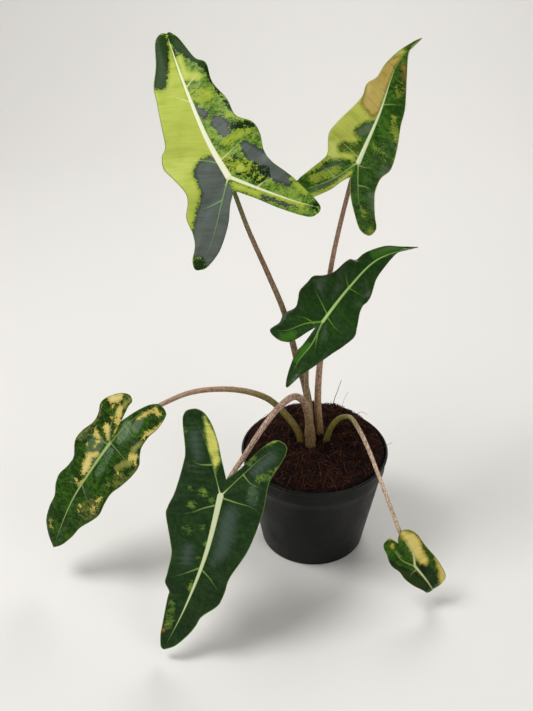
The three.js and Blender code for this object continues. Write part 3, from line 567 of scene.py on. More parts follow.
def strips(leaf):
    """The points of a blade's four strips, outer and inner on each side, and the faces between them.

    flat: place on the flat leaf. side: 0 left, 1 right. s and v: shares along and across the strip.
    edge: distance to the margin. inner: 1 behind the basal vein. quads: faces, by point number.
    """
    split = leaf["split"]
    on_rib = np.linspace(0, 1, OUTER_ROWS[0], endpoint=False)
    on_vein = np.linspace(0, 1, OUTER_ROWS[1])
    outer_s = np.concatenate([on_rib * split, split + (1 - split) * on_vein])
    inner_s = np.linspace(0, 1, INNER_ROWS)
    parts = []
    total = 0
    for side, (vein, past_tip) in enumerate(zip(leaf["veins"], leaf["margins"])):
        margin = leaf["midrib"][:1] + past_tip
        lobe = margin.index(vein[-1]) / (len(margin) - 1)
        spine = np.vstack([catmull(leaf["midrib"], on_rib), catmull(vein, on_vein)])
        outer = (spine, catmull(margin, outer_s * lobe), outer_s)
        inner = (catmull(vein, inner_s), catmull(margin, 1 - (1 - lobe) * inner_s), inner_s)
        for is_inner, (start, end, s) in enumerate((outer, inner)):
            v = COLUMNS[is_inner]
            rows, width = len(start), len(v)
            across = end - start
            a = total + (np.arange(rows - 1)[:, None] * width + np.arange(width - 1)).ravel()
            ring = [a, a + 1, a + width + 1, a + width]
            grid = np.ones((rows, width))
            parts.append({
                "flat": (start[:, None] + across[:, None] * v[None, :, None]).reshape(-1, 2),
                "side": (grid * side).ravel(),
                "s": (grid * s[:, None]).ravel(),
                "v": (grid * v).ravel(),
                "edge": (np.linalg.norm(across, axis=1)[:, None] * (1 - v)).ravel(),
                "inner": (grid * is_inner).ravel(),
                "quads": np.stack(ring if side == is_inner else ring[::-1], 1),
            })
            total += rows * width
    return {key: np.concatenate([part[key] for part in parts]) for key in parts[0]}


def place(leaf, sheet):
    """The points of a sheet in space, folded, cambered, waved and bent along the midrib."""
    flat, s = sheet["flat"], sheet["s"]
    side = sheet["side"].astype(int)
    v = sheet["v"] * (1 - sheet["inner"])
    tip, left, out = leaf_axes(leaf)
    outward = np.where(side == 0, 1, -1)
    span = np.maximum(0, outward * (flat[:, 1] - midrib_height(leaf, flat[:, 0])))
    height, count, start = np.array(leaf["wave"])[side].T
    fold = np.tan(np.radians(np.array(leaf["fold"])[side]))
    camber = np.array(leaf["camber"])[side]
    swell = np.sqrt(np.maximum(0, np.sin(np.pi * s)))
    rise = fold * (np.hypot(span, FOLD_ROUNDING) - FOLD_ROUNDING)
    wave = height * v * v * swell * np.sin(2 * np.pi * (count * s + start))
    lift = rise - camber * span * span / 100 + wave
    forward, down, tilt = along_dip(leaf["slope"], flat[:, 0])
    x = forward + lift * np.sin(tilt)
    z = lift * np.cos(tilt) - down
    return np.array(leaf["junction"], float) + x[:, None] * tip + flat[:, 1:2] * left + z[:, None] * out


def patch_fields(leaf, sheet):
    """Signed distance in mm into each kind of patch; a later patch hides what it covers."""
    flat = sheet["flat"]
    fields = {kind: np.full(len(flat), NO_PATCH) for kind in PATCH_KINDS}
    rib_side = flat[:, 1] - midrib_height(leaf, flat[:, 0])
    halves = {
        "left": np.where(sheet["side"] == 0, np.maximum(rib_side, RIB_BORDER), NO_PATCH),
        "right": np.where(sheet["side"] == 1, np.maximum(-rib_side, RIB_BORDER), NO_PATCH),
    }
    spots = [(kind, zone, *spot) for kind, zone, *group in leaf["patches"] for spot in group]
    for kind, zone, line, radii, solid in spots:
        value = np.minimum(line_field(flat, line, radii), solid)
        for half, reach in halves.items():
            if half in zone:
                value = np.minimum(value, reach)
        if "inner" in zone:
            value = np.where(sheet["inner"] > 0, value, NO_PATCH)
        fields[kind] = np.maximum(fields[kind], value)
        for other in PATCH_KINDS:
            # The sheen, a painted reflection, neither hides nor is hidden; lime and pale don't hide each
            # other
            apart = other != kind and "sheen" not in (kind, other) and {kind, other} != {"lime", "pale"}
            if apart and solid >= COVERING:
                fields[other] = np.minimum(fields[other], -value)
    return fields


def vein_fields(leaf, flat):
    """Reach into the thick ribs and into the thin side veins, in mm, positive inside."""
    share = np.linspace(0, 1, MIDRIB_POINTS)
    width, taper, *basal = leaf["rib"]
    midrib_reach = (width + MIDRIB_END) * share**taper - MIDRIB_END
    ribs = line_field(flat, catmull(leaf["midrib"], share), midrib_reach)
    thin = np.full(len(flat), -1e9)
    for vein, reach in zip(leaf["veins"], basal):
        line = catmull(vein, share)
        fork_reach = 0.5 * width * (1 - share / FORK_SHARE) - VEIN_END
        ribs = np.maximum(ribs, line_field(flat, line, fork_reach))
        field = line_field(flat, line, (reach + VEIN_END) * (1 - share) ** 0.8 - VEIN_END)
        if reach >= THICK_VEIN:
            ribs = np.maximum(ribs, field)
        thin = np.maximum(thin, field)
    lateral_reach = np.linspace(0.45 + 0.1 * width, -LATERAL_END, LATERAL_POINTS)
    for lateral in leaf["laterals"]:
        line = catmull(lateral, np.linspace(0, 1, LATERAL_POINTS))
        thin = np.maximum(thin, line_field(flat, line, lateral_reach))
    return ribs, thin


def weld(points):
    """Numbers of the points to keep, and for every point which of those it falls on."""
    keys = np.round(points / WELD_DISTANCE).astype(np.int64)
    _, first, kept = np.unique(keys, axis=0, return_index=True, return_inverse=True)
    return first, kept.ravel()


def skins(quads, count):
    """Faces of the upper skin, of the lower skin, whose points come after, and of the margin."""
    faces = []
    edges = {}
    for quad in quads:
        ring = distinct(quad)
        if len(ring) < 3:
            continue
        faces += [ring, [count + p for p in ring[::-1]]]
        edges.update(((ring[k - 1], p), True) for k, p in enumerate(ring))
    faces += [[b, a, count + a, count + b] for a, b in edges if (b, a) not in edges]
    return faces


def blade_object(name, leaf):
    sheet = strips(leaf)
    flat, edge = sheet["flat"], sheet["edge"]
    points = place(leaf, sheet)
    first, kept = weld(points)
    quads = kept[sheet["quads"]]
    ribs, thin = vein_fields(leaf, flat)
    # Lamina swells between the veins, fine cross ridges between midrib and margin
    swell = LAMINA_SWELL * (smoothstep(0, 9, -np.maximum(ribs, thin)) - 0.6) * smoothstep(0, 6, edge)
    turn = flat[:, 0] - RIDGE_LEAN * np.abs(flat[:, 1])
    sway = RIDGE_SWAY * np.sin(turn * RIDGE_SWAY_WAVE)
    ripple = np.sin(turn * RIDGE_WAVE + sway) * np.sin(np.pi * sheet["v"])
    ridges = leaf["ridge"] * ripple * smoothstep(1, 4, -ribs)
    rib = leaf["rib"][0]
    crest = RIB_CREST * smoothstep(-0.6, rib, ribs) + VEIN_CREST * smoothstep(-0.5, 0.5, thin)
    keel = RIB_DEPTH * smoothstep(-1.0, rib, ribs) + VEIN_DEPTH * smoothstep(-0.7, 0.6, thin)
    half = HALF_MARGIN + (HALF_THICKNESS - HALF_MARGIN) * np.sqrt(np.clip(edge / MARGIN_TAPER, 0, 1))
    middle = points[first]
    normals = vertex_normals(middle, quads)
    middle = middle + (swell + ridges)[first, None] * normals
    above = middle + (half + crest)[first, None] * normals
    below = middle - (half + keel)[first, None] * normals
    both = lambda values: np.concatenate([values[first]] * 2)
    data = {kind: both(field) for kind, field in patch_fields(leaf, sheet).items()}
    data.update(ribs=both(ribs), thin=both(thin), edge=both(edge), under=np.repeat([0, 1], len(first)))
    grain = np.column_stack([flat, turn])
    faces = skins(quads, len(first))
    piece = mesh_object("leaf_" + name, np.vstack([above, below]), faces, data, {"grain": both(grain)})
    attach(piece, "root")
    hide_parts("blade_" + name)
    return piece


# Petioles


def centripetal(points, count):
    """Points spaced evenly on a centripetal Catmull-Rom curve."""
    p = np.asarray(points, float)
    p = np.vstack([2 * p[0] - p[1], p, 2 * p[-1] - p[-2]])
    dense = []
    for i in range(1, len(p) - 2):
        a, b, c, d = p[i - 1 : i + 3]
        gaps = [max(np.linalg.norm(e - f), 1e-6) ** 0.5 for e, f in ((b, a), (c, b), (d, c))]
        start = ((b - a) / gaps[0] - (c - a) / (gaps[0] + gaps[1]) + (c - b) / gaps[1]) * gaps[1]
        end = ((c - b) / gaps[1] - (d - b) / (gaps[1] + gaps[2]) + (d - c) / gaps[2]) * gaps[1]
        w = np.linspace(0, 1, 30, endpoint=False)[:, None]
        cubic = (2 * b - 2 * c + start + end) * w**3 + (3 * c - 3 * b - 2 * start - end) * w**2
        dense.append(cubic + start * w + b)
    dense = np.vstack(dense + [p[-2:-1]])
    run = np.concatenate([[0], np.cumsum(np.linalg.norm(np.diff(dense, axis=0), axis=1))])
    even = np.linspace(0, run[-1], count)
    return np.stack([np.interp(even, run, dense[:, k]) for k in range(3)], 1), run[-1]


def tube_frames(line):
    """Two cross directions at each point of a line, carried along without twist."""
    ahead = np.gradient(line, axis=0)
    ahead /= np.linalg.norm(ahead, axis=1, keepdims=True)
    across = np.cross(ahead[0], [0, 1, 0])
    across /= np.linalg.norm(across)
    first = []
    for direction in ahead:
        across = across - direction * (across @ direction)
        across /= np.linalg.norm(across)
        first.append(across)
    first = np.array(first)
    return first, np.cross(ahead, first)


def tube(line, radii, sides, ridge=0.0, ridges=0):
    """Rings round a line with end caps: points, faces, angle and share of the length."""
    first, second = tube_frames(line)
    angle = round_angles(sides)
    radius = radii[:, None] * (1 + ridge * np.cos(ridges * angle)[None])
    rings = line[:, None] + radius[..., None] * (
        np.cos(angle)[None, :, None] * first[:, None] + np.sin(angle)[None, :, None] * second[:, None]
    )
    steps = len(line)
    faces = []
    for i in range(steps - 1):
        faces += band(i * sides, (i + 1) * sides, sides)
    faces.append(list(range(sides))[::-1])
    faces.append([(steps - 1) * sides + k for k in range(sides)])
    return rings.reshape(-1, 3), faces, np.tile(angle, steps), np.repeat(np.linspace(0, 1, steps), sides)


PETIOLE_FOOT = 85.3
PETIOLE_RINGS = 150
PETIOLE_SIDES = 24
PETIOLE_SKIN = 2.6
PETIOLE_RIDGES = 8
PETIOLE_RIDGE_HEIGHT = 0.03
# A slight swelling below the blade and a rounded end: share of the radius, and mm from the top
COLLAR_SWELL = 0.06
COLLAR_DEPTH = 5
END_ROUNDING = 3
# Over STALK_REACH from its top, the stalk stays STALK_DEPTH below the blade
STALK_REACH = 12
STALK_DEPTH = 0.3


def petiole_object(name, leaf):
    path, radii, taper = (leaf["petiole"][key] for key in ("path", "radii", "taper"))
    foot = [*path[0][:2], PETIOLE_FOOT]
    line, length = centripetal([foot, *path, leaf["junction"]], PETIOLE_RINGS)
    t = np.linspace(0, 1, PETIOLE_RINGS)
    from_top = (1 - t) * length
    radius = radii[1] + (radii[0] - radii[1]) * (1 - t) ** taper
    radius *= 1 + COLLAR_SWELL * np.exp(-((from_top - COLLAR_DEPTH) / COLLAR_DEPTH) ** 2)
    radius *= np.sqrt(np.clip(from_top / END_ROUNDING + 0.08, 0, 1))
    points, faces, angle, share = tube(line, radius, PETIOLE_SIDES, PETIOLE_RIDGE_HEIGHT, PETIOLE_RIDGES)
    axes = np.array(leaf_axes(leaf))
    blade = place(leaf, strips(leaf))
    blade = blade[np.linalg.norm(blade - leaf["junction"], axis=1) < 1.5 * STALK_REACH] @ axes.T
    for i in np.flatnonzero(np.linalg.norm(points - leaf["junction"], axis=1) < STALK_REACH):
        local = axes @ points[i]
        nearest = blade[np.argmin(np.hypot(blade[:, 0] - local[0], blade[:, 1] - local[1]))]
        proud = local[2] - nearest[2] + STALK_DEPTH
        if 0 < proud < STALK_REACH:
            points[i] -= proud * axes[2]
    skin = np.stack([PETIOLE_SKIN * np.cos(angle), PETIOLE_SKIN * np.sin(angle), share * length], 1)
    piece = mesh_object("stalk_" + name, points, faces, {"share": share}, {"skin": skin})
    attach(piece, "root")
    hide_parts("petiole_" + name)
    return piece


# Pot

POT_HEIGHT = 90
POT_RIM_RADIUS = 60
POT_BAND_RADIUS = 58.2
POT_BAND_BOTTOM = 76
POT_SHOULDER_RADIUS = 56.5
POT_SHOULDER = 74
POT_BASE_RADIUS = 43
POT_FOOT_ROUNDING = 1.5
POT_RECESS = 0.8
POT_WALL = 1.4
POT_FLOOR = 2
POT_SIDES = 160
# Section of the rim from outside to inside: in from its radius, down from its top
POT_RIM = [
    (0.5, 2.6), (0.1, 2.2), (0, 1.7), (0, 0.9), (0.2, 0.4),
    (0.7, 0), (1.2, 0), (1.7, 0.2), (2.1, 0.8), (2.8, 2),
]
DRAIN_HOLES = 6
DRAIN_CIRCLE = 29
DRAIN_RADIUS = 4.5


def lathe(profile, sides):
    """A closed profile turned round +Z; a point with radius 0 is one vertex."""
    points, faces, rows = [], [], []
    for r, z in profile:
        corners = [(0, 0, z)] if r == 0 else circle(r, z, sides)
        rows.append([len(points) + k % len(corners) for k in range(sides)])
        points += corners
    for low, high in zip(rows[:-1], rows[1:]):
        for k in range(sides):
            n = (k + 1) % sides
            ring = distinct([low[k], low[n], high[n], high[k]])
            if len(ring) > 2:
                faces.append(ring)
    return points, faces


def pot_profile():
    """Half section of the pot, from the middle of its base over the rim to the middle of its floor."""
    base = POT_BASE_RADIUS
    foot = POT_FOOT_ROUNDING
    profile = [(0, POT_RECESS), (30, POT_RECESS), (33, POT_RECESS), (34, 0), (base - foot, 0)]
    for a in np.radians([25, 50, 75]):
        profile.append((base - foot + foot * math.sin(a), foot - foot * math.cos(a)))
    profile += np.linspace((base, foot), (POT_SHOULDER_RADIUS, POT_SHOULDER), 13).tolist()
    profile.append((POT_BAND_RADIUS - 0.35, POT_BAND_BOTTOM - 0.5))
    band_top = (POT_BAND_RADIUS + 0.6, POT_HEIGHT - 3)
    profile += np.linspace((POT_BAND_RADIUS, POT_BAND_BOTTOM), band_top, 4).tolist()
    profile += [(POT_RIM_RADIUS - inward, POT_HEIGHT - down) for inward, down in POT_RIM]
    profile.append((POT_BAND_RADIUS - POT_WALL, POT_BAND_BOTTOM))
    profile.append((POT_SHOULDER_RADIUS - POT_WALL, POT_SHOULDER))
    profile.append((base - POT_WALL, POT_FLOOR + foot))
    return profile + [(base - POT_WALL - foot, POT_FLOOR), (0, POT_FLOOR)]


def pot_object():
    points, faces = lathe(pot_profile(), POT_SIDES)
    pot = mesh_object("nursery_pot", points, faces)
    cutters = []
    for x, y, z in circle(DRAIN_CIRCLE * MM, 0, DRAIN_HOLES):
        bpy.ops.mesh.primitive_cylinder_add(
            vertices=32, radius=DRAIN_RADIUS * MM, depth=4 * POT_FLOOR * MM, location=(x, y, z)
        )
        cutters.append(bpy.context.object)
    for cutter in cutters:
        hole = pot.modifiers.new("drain", "BOOLEAN")
        hole.operation, hole.solver, hole.object = "DIFFERENCE", "EXACT", cutter
    bpy.context.view_layer.update()
    cut = bpy.data.meshes.new_from_object(pot.evaluated_get(bpy.context.evaluated_depsgraph_get()))
    pot.modifiers.clear()
    pot.data = cut
    for cutter in cutters:
        bpy.data.objects.remove(cutter)
    cut.polygons.foreach_set("use_smooth", [True] * len(cut.polygons))
    cut.set_sharp_from_angle(angle=math.radians(35))
    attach(pot, "root")
    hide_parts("pot")
    return pot


# Soil

SOIL_EDGE = 89
SOIL_HEAP = 13
SOIL_TILT = 0.06
SOIL_DIP = 3
SOIL_DIP_RADIUS = 20
SOIL_LUMP = 0.8
SOIL_SWELLS = [[0.31, 0.17, 0], [0.23, -0.37, 1], [0, 0.53, 2]]
SOIL_RADIUS = 57.0
SOIL_RINGS = 130
SOIL_SIDES = 360
# Side of the root ball within the pot, down to the bottom that shows in the drain holes
SOIL_SIDE = [(56.7, 87.0), (54.8, 74), (41.3, 3.8), (39.8, 2.3)]
# Crumbs: radius and height of their domes, and the step between dark, low ones and light, high ones
CRUMBS = 4200
CRUMB_RADIUS = 1.3
CRUMB_HEIGHT = 1.1
CRUMB_STEP = 0.9
CRUMB_SINK = 0.5


def soil_top(x, y):
    r = np.hypot(x, y)
    heap = SOIL_HEAP * (1 - np.minimum(r / POT_SHOULDER_RADIUS, 1) ** 8)
    dip = SOIL_DIP * np.exp(-((r / SOIL_DIP_RADIUS) ** 2))
    lumps = sum(np.sin(ax * x + ay * y + start) for ax, ay, start in SOIL_SWELLS)
    return SOIL_EDGE + heap - dip + (SOIL_TILT * y + SOIL_LUMP * lumps) * heap / SOIL_HEAP


def soil_object():
    draw = np.random.default_rng(11)
    r = SOIL_RADIUS * np.sqrt(draw.random(CRUMBS))
    a = 2 * np.pi * draw.random(CRUMBS)
    size = draw.lognormal(0, 0.35, CRUMBS)
    tone = draw.random(CRUMBS)
    crumbs = kdtree.KDTree(CRUMBS)
    for i in range(CRUMBS):
        crumbs.insert((r[i] * math.cos(a[i]), r[i] * math.sin(a[i]), 0), i)
    crumbs.balance()
    points, tones = [(0, 0, float(soil_top(0, 0)))], [0.5]
    for ring in SOIL_RADIUS * np.linspace(0, 1, SOIL_RINGS + 1)[1:] ** 0.9:
        for x, y, _ in circle(ring, 0, SOIL_SIDES):
            _, i, gap = crumbs.find((x, y, 0))
            dome = size[i] * math.sqrt(max(0, 1 - (gap / CRUMB_RADIUS) ** 2))
            bump = CRUMB_HEIGHT * dome + CRUMB_STEP * (tone[i] - 0.6)
            bump *= 1 - (ring / SOIL_RADIUS) ** 12
            points.append((x, y, float(soil_top(x, y)) + bump - CRUMB_SINK))
            tones.append(tone[i])
    faces = [[0, 1 + k, 1 + (k + 1) % SOIL_SIDES] for k in range(SOIL_SIDES)]
    for radius, z in SOIL_SIDE:
        points += circle(radius, z, SOIL_SIDES)
        tones += [0.3] * SOIL_SIDES
    last = len(points) - SOIL_SIDES
    for low in range(1, last, SOIL_SIDES):
        faces += band(low, low + SOIL_SIDES, SOIL_SIDES, turned=True)
    faces.append([last + k for k in range(SOIL_SIDES)][::-1])
    soil = mesh_object("coir_mix", points, faces, {"tone": tones}, smooth=False)
    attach(soil, "root")
    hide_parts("soil")
    return soil


# Fibres start within the spread and stay within the limit, both radii
FIBRES = 3000
FIBRE_POINTS = 6
FIBRE_SPREAD = 55
FIBRE_LIMIT = 55.3
# Short chips of coir husk between the fibres: stations along them, and their thickness there
CHIPS = 420
CHIP_SPREAD = 54
CHIP_ALONG = np.array([-1, -0.4, 0.4, 1])
CHIP_RADII = np.array([0.5, 1, 0.9, 0.4])
# Fibres that stand out: points in mm and thickness
LOOSE_FIBRES = [
    ([[16, 34, 101], [17.5, 36, 112], [20.5, 37.5, 122], [23, 38, 131]], 0.42),
    ([[24, 36, 102], [26, 36.5, 113], [29, 37, 120]], 0.2),
    ([[-20, -47, 98], [-24, -54, 93], [-29, -61, 90.5], [-33, -65, 87]], 0.28),
    ([[44, -14, 98], [52, -8, 95], [58, -2, 93], [64, 3, 93]], 0.3),
    ([[6, -44, 99], [12, -52, 96.5], [15, -59, 91.6], [16, -61.5, 88]], 0.25),
    ([[-45, -22, 98], [-53, -27, 93], [-60, -27, 90.8], [-62.5, -25, 87]], 0.25),
    ([[36, 34, 99], [42, 42, 96], [47, 44, 92]], 0.25),
]


def fibre_strip(points, faces, tones, line, radius, tone):
    """Adds one three-sided fibre along a line."""
    rings, quads, _, _ = tube(line, radius, 3)
    base = len(points)
    points.extend(rings.tolist())
    faces.extend([[base + p for p in quad] for quad in quads])
    tones.extend([tone] * len(rings))


def scatter(draw, spread):
    """A random place on the soil."""
    r = spread * math.sqrt(draw.random())
    a = draw.random() * 2 * math.pi
    return r * math.cos(a), r * math.sin(a)


def fibres_object():
    draw = np.random.default_rng(5)
    points, faces, tones = [], [], []
    for _ in range(FIBRES):
        x, y = scatter(draw, FIBRE_SPREAD)
        length = draw.lognormal(2.1, 0.5)
        heading = draw.random() * 2 * math.pi
        bend = draw.normal(0, 0.12)
        step = length / FIBRE_POINTS
        turn = heading + bend * np.arange(FIBRE_POINTS - 1) * step
        xs = x + np.concatenate([[0], np.cumsum(np.cos(turn))]) * step
        ys = y + np.concatenate([[0], np.cumsum(np.sin(turn))]) * step
        inside = np.minimum(1, FIBRE_LIMIT / np.maximum(np.hypot(xs, ys), 1))
        xs, ys = xs * inside, ys * inside
        arch = np.sin(np.linspace(0.1, np.pi - 0.1, FIBRE_POINTS)) * draw.random() * 0.16 * length
        zs = soil_top(xs, ys) + arch + draw.uniform(-0.2, 0.9)
        radius = np.linspace(1, 0.6, FIBRE_POINTS) * draw.uniform(0.1, 0.24)
        fibre_strip(points, faces, tones, np.stack([xs, ys, zs], 1), radius, draw.random())
    for _ in range(CHIPS):
        x, y = scatter(draw, CHIP_SPREAD)
        heading = draw.random() * 2 * math.pi
        reach = draw.uniform(0.7, 1.7) * CHIP_ALONG
        xs, ys = x + reach * math.cos(heading), y + reach * math.sin(heading)
        zs = soil_top(xs, ys) + draw.uniform(0.3, 1.1) + draw.normal(0, 0.25) * reach
        radius = CHIP_RADII * draw.uniform(0.3, 0.65)
        fibre_strip(points, faces, tones, np.stack([xs, ys, zs], 1), radius, draw.uniform(0.35, 1.1))
    for line, thick in LOOSE_FIBRES:
        smooth, _ = centripetal(line, 14)
        fibre_strip(points, faces, tones, smooth, np.linspace(thick, thick * 0.5, 14), 0.9)
    fibres = mesh_object("coir_fibres", points, faces, {"tone": tones}, smooth=False)
    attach(fibres, "root")
    return fibres


# Materials


class Shader:
    """A node material, built call by call."""

    def __init__(self, name, roughness, specular):
        self.material = bpy.data.materials.new(name)
        self.material.use_nodes = True
        self.tree = self.material.node_tree
        self.surface = self.tree.nodes["Principled BSDF"]
        self.set("Roughness", roughness)
        self.set("Specular IOR Level", specular)

    def feed(self, socket, value):
        if isinstance(value, bpy.types.NodeSocket):
            self.tree.links.new(value, socket)
        else:
            socket.default_value = value

    def set(self, key, value):
        self.feed(self.surface.inputs[key], value)

    def node(self, kind, inputs, **settings):
        made = self.tree.nodes.new("ShaderNode" + kind)
        for key, value in settings.items():
            setattr(made, key, value)
        for key, value in inputs.items():
            self.feed(made.inputs[key], value)
        return made.outputs

    def attribute(self, name, output="Fac"):
        return self.node("Attribute", {}, attribute_name=name)[output]

    def position(self):
        return self.node("TexCoord", {})["Object"]

    def math(self, operation, a, b):
        return self.node("Math", {0: a, 1: b}, operation=operation)[0]

    def scaled(self, value, factor):
        return self.math("MULTIPLY", value, factor)

    def centred(self, noise, factor):
        """Noise from 0 to 1, swung about zero."""
        return self.scaled(self.math("SUBTRACT", noise, 0.5), factor)

    def add(self, *values):
        total = values[0]
        for value in values[1:]:
            total = self.math("ADD", total, value)
        return total

    def between(self, value, low, high, to_low=0.0, to_high=1.0):
        """A smooth step from one value to another, where the input goes from low to high."""
        steps = {"Value": value, "From Min": low, "From Max": high, "To Min": to_low, "To Max": to_high}
        return self.node("MapRange", steps, interpolation_type="SMOOTHSTEP")["Result"]

    def stretch(self, vector, scale):
        return self.node("Mapping", {"Vector": vector, "Scale": scale})["Vector"]

    def noise(self, vector, scale, detail, roughness, distortion=0.0):
        grain = {"Vector": vector, "Scale": scale, "Detail": detail}
        grain.update({"Roughness": roughness, "Distortion": distortion})
        return self.node("TexNoise", grain)["Fac"]

    def mix(self, factor, a, b):
        return self.node("Mix", {"Factor": factor, 6: a, 7: b}, data_type="RGBA")[2]

    def ramp(self, factor, stops):
        made = self.tree.nodes.new("ShaderNodeValToRGB")
        self.feed(made.inputs["Fac"], factor)
        elements = made.color_ramp.elements
        while len(elements) < len(stops):
            elements.new(0.5)
        for element, (position, colour) in zip(elements, stops):
            element.position = position
            element.color = linear(colour)
        return made.outputs["Color"]

    def bump(self, height, distance, strength):
        relief = {"Height": height, "Distance": distance, "Strength": strength}
        self.set("Normal", self.node("Bump", relief)["Normal"])

    def colour(self, value):
        self.set("Base Color", value)

    def dress(self, piece):
        piece.data.materials.clear()
        piece.data.materials.append(self.material)


def leaf_material(name, colours):
    shader = Shader("leaf_" + name, 0.42, colours["shine"])
    grain = shader.attribute("grain", "Vector")
    along = shader.stretch(grain, (1.0, 0.7, 0.0))
    broad = shader.noise(along, 0.1, 2, 0.5, 0.4)
    middle = shader.noise(along, 0.36, 2, 0.5, 0.5)
    fine = shader.noise(along, 1.0, 2, 0.55, 0.6)
    fleck = shader.noise(along, 1.9, 1, 0.5, 0.3)
    streak = shader.noise(shader.stretch(grain, (0.0, 0.05, 0.6)), 1.0, 3, 0.55)
    waves = (broad, middle, fine)
    ragged = shader.add(*(shader.centred(wave, reach) for wave, reach in zip(waves, colours["ragged"])))
    marble = shader.add(*(shader.scaled(wave, share) for wave, share in zip(waves, (0.3, 0.35, 0.35))))
    sparkle = shader.centred(fleck, 7.0)
    cloudy = shader.add(shader.scaled(broad, 4.0), shader.scaled(streak, 3.0))
    colour = shader.ramp(marble, list(zip((0.41, 0.49, 0.58), colours["ground"])))
    # The sheen: a painted reflection of the lamps, swept along the streaks over the ground colour
    if "sheen" in colours:
        painted_sheen_reach = shader.add(shader.attribute("sheen"), shader.centred(streak, 8.0))
        colour = shader.mix(shader.between(painted_sheen_reach, -1.0, 9.0, 0.0, 0.6), colour, linear(colours["sheen"]))
    for kind in ("slate", "deep", "lime", "pale"):
        if kind not in colours:
            continue
        field = shader.attribute(kind)
        first, second = (linear(tone) for tone in colours[kind])
        dark = kind in ("slate", "deep")
        reach = shader.math("SUBTRACT" if dark else "ADD", field, ragged)
        depth = shader.add(shader.math("MINIMUM", field, 2.6), cloudy)
        body = shader.mix(shader.between(depth, 3.6, 6.8), first, second)
        if not dark:
            halo = shader.between(shader.add(reach, sparkle), -0.3, 0.1, 0.0, 0.5)
            colour = shader.mix(halo, colour, first)
        border = colours["fade" if kind == "pale" else "soft"]
        colour = shader.mix(shader.between(reach, -border, border), colour, body)
    edge = shader.attribute("edge")
    colour = shader.mix(shader.between(edge, 0.7, 0.25), colour, linear(colours["margin"]))
    vein = linear(colours["vein"])
    side_vein = vein
    if "slate_vein" in colours:
        in_slate = shader.between(shader.attribute("slate"), -0.5, 1.0)
        side_vein = shader.mix(in_slate, vein, linear(colours["slate_vein"]))
    thin = shader.attribute("thin")
    colour = shader.mix(shader.between(thin, -0.3, 0.3, 0.0, 0.85), colour, side_vein)
    ribs = shader.attribute("ribs")
    colour = shader.mix(shader.between(ribs, -0.3, 0.2), colour, vein)
    colour = shader.mix(shader.between(ribs, -0.05, 0.55), colour, linear(colours["rib"]))
    underside = shader.mix(0.35, linear(colours["under"]), colour)
    shader.colour(shader.mix(shader.attribute("under"), colour, underside))
    pores = shader.noise(grain, 5.0, 3, 0.6)
    shader.bump(shader.add(shader.scaled(fine, 0.4), shader.scaled(pores, 0.2)), 0.0003, 0.5)
    shader.set("Roughness", shader.between(fine, 0.3, 0.7, *colours["gloss"]))
    return shader


def petiole_material(name, stops):
    shader = Shader("stalk_" + name, 0.45, 0.4)
    skin = shader.attribute("skin", "Vector")
    share = shader.attribute("share")
    ground = shader.ramp(share, [(t, light) for t, light, _ in stops])
    mottle = shader.ramp(share, [(t, dark) for t, _, dark in stops])
    blotch = shader.noise(shader.stretch(skin, (1.0, 1.0, 0.6)), 0.85, 2, 0.55, 0.8)
    dash = shader.noise(shader.stretch(skin, (1.6, 1.6, 0.5)), 1.5, 2, 0.5, 0.4)
    mask = shader.between(shader.add(blotch, shader.scaled(dash, 0.6)), 0.77, 0.83)
    shader.colour(shader.mix(mask, ground, mottle))
    lines = shader.noise(shader.stretch(skin, (2.2, 2.2, 0.12)), 1.0, 2, 0.5)
    shader.bump(lines, 0.0004, 0.5)
    return shader


def pot_material():
    shader = Shader("pot_plastic", 0.5, 0.2)
    position = shader.position()
    cloudy = shader.noise(position, 60, 4, 0.6)
    dust = shader.between(shader.noise(position, 420, 2, 0.5), 0.66, 0.74, 0.0, 0.35)
    plastic = shader.mix(cloudy, linear((3, 3, 4)), linear((9, 9, 10)))
    shader.colour(shader.mix(dust, plastic, linear((60, 44, 36))))
    shader.set("Roughness", shader.between(cloudy, 0.3, 0.7, 0.42, 0.55))
    shader.bump(shader.noise(position, 900, 2, 0.5), 0.0001, 0.3)
    return shader


def coir_material(name, stops, bump):
    shader = Shader(name, 0.9, 0.15)
    grit = shader.noise(shader.position(), 700, 4, 0.65)
    shade = shader.add(shader.scaled(shader.attribute("tone"), 0.6), shader.scaled(grit, 0.4))
    shader.colour(shader.ramp(shade, stops))
    if bump:
        shader.bump(grit, 0.0012, 0.9)
    return shader


def bark_material():
    shader = Shader("rhizome_bark", 0.85, 0.2)
    rings = shader.noise(shader.stretch(shader.position(), (1, 1, 4)), 220, 4, 0.6)
    shader.colour(shader.ramp(rings, [(0.3, (60, 44, 28)), (0.7, (118, 92, 62))]))
    shader.bump(rings, 0.001, 0.8)
    return shader


def plain_material(name, colour):
    shader = Shader(name, 0.9, 0.2)
    shader.colour(linear(colour))
    return shader


# Share of the coir's own tone and grit, and sRGB colour
CRUMB_TONES = [(0.3, (7, 3, 3)), (0.55, (18, 9, 7)), (0.8, (46, 22, 15))]
STRAND_TONES = [(0.2, (20, 9, 7)), (0.6, (50, 25, 17)), (0.95, (118, 68, 44))]

for name, leaf in LEAVES.items():
    leaf_material(name, LEAF_COLOURS[name]).dress(blade_object(name, leaf))
    petiole_material(name, PETIOLE_COLOURS[name]).dress(petiole_object(name, leaf))
pot_material().dress(pot_object())
coir_material("coir_crumbs", CRUMB_TONES, True).dress(soil_object())
coir_material("coir_strands", STRAND_TONES, False).dress(fibres_object())
bark_material().dress(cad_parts["rhizome"])

# Studio: pale floor and wall in one sweep, soft lights, and the camera of the photo

# Sweep, in metres: front end, start and radius of the bend, top of the wall, half-width
FLOOR_FRONT = -1.6
BEND_START = 0.9
BEND_RADIUS = 0.6
WALL_TOP = 3.0
HALF_WIDTH = 3.5


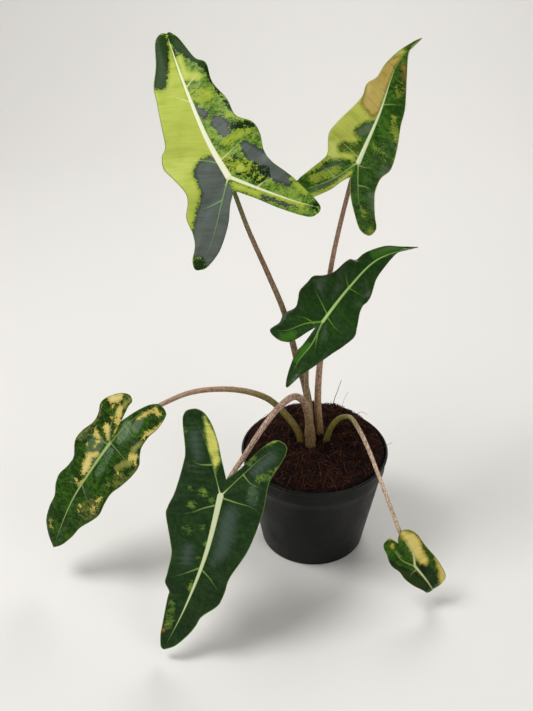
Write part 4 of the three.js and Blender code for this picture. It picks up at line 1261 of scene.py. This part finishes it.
def sweep_object():
    curve = [(FLOOR_FRONT, 0.0), (BEND_START, 0.0)]
    for a in np.radians(range(6, 91, 6)):
        curve.append((BEND_START + BEND_RADIUS * math.sin(a), BEND_RADIUS - BEND_RADIUS * math.cos(a)))
    curve.append((BEND_START + BEND_RADIUS, WALL_TOP))
    points = [(x / MM, y / MM, z / MM) for y, z in curve for x in (-HALF_WIDTH, HALF_WIDTH)]
    faces = [[2 * i, 2 * i + 1, 2 * i + 3, 2 * i + 2] for i in range(len(curve) - 1)]
    sweep = mesh_object("floor_sweep", points, faces)
    return sweep


plain_material("studio_floor", (226, 224, 220)).dress(sweep_object())

SUBJECT = Vector((-0.04, -0.03, 0.2))


def softbox(name, location, size, power, colour=(1, 1, 1)):
    lamp = bpy.data.lights.new(name, "AREA")
    lamp.shape, lamp.size, lamp.energy, lamp.color = "DISK", size, power, colour
    light = bpy.data.objects.new(name, lamp)
    light.location = location
    light.rotation_euler = (SUBJECT - Vector(location)).to_track_quat("-Z", "Y").to_euler()
    bpy.context.scene.collection.objects.link(light)


softbox("key", (-0.75, -0.15, 1.35), 0.6, 12.5)
softbox("fill", (0.9, -1.2, 0.9), 1.0, 7)
softbox("back", (0.3, 1.1, 1.2), 0.8, 8)

world = bpy.data.worlds.new("studio")
world.use_nodes = True
world.node_tree.nodes["Background"].inputs["Color"].default_value = (1.0, 0.99, 0.97, 1)
world.node_tree.nodes["Background"].inputs["Strength"].default_value = 0.38
bpy.context.scene.world = world
bpy.context.scene.view_settings.view_transform = "Standard"

# Focal length and height of the photo, in pixels, and the sensor that they are taken on, in mm
FOCAL_PIXELS = 987
PHOTO_PIXELS = 711
SENSOR = 36

camera = bpy.data.objects.new("photo_camera", bpy.data.cameras.new("photo_camera"))
camera.location = (-0.0394, -0.650, 0.580)
camera.rotation_euler = (math.radians(58.3), 0, 0)
camera.data.lens = FOCAL_PIXELS / PHOTO_PIXELS * SENSOR
camera.data.clip_start = 0.01
bpy.context.scene.collection.objects.link(camera)
bpy.context.scene.camera = camera
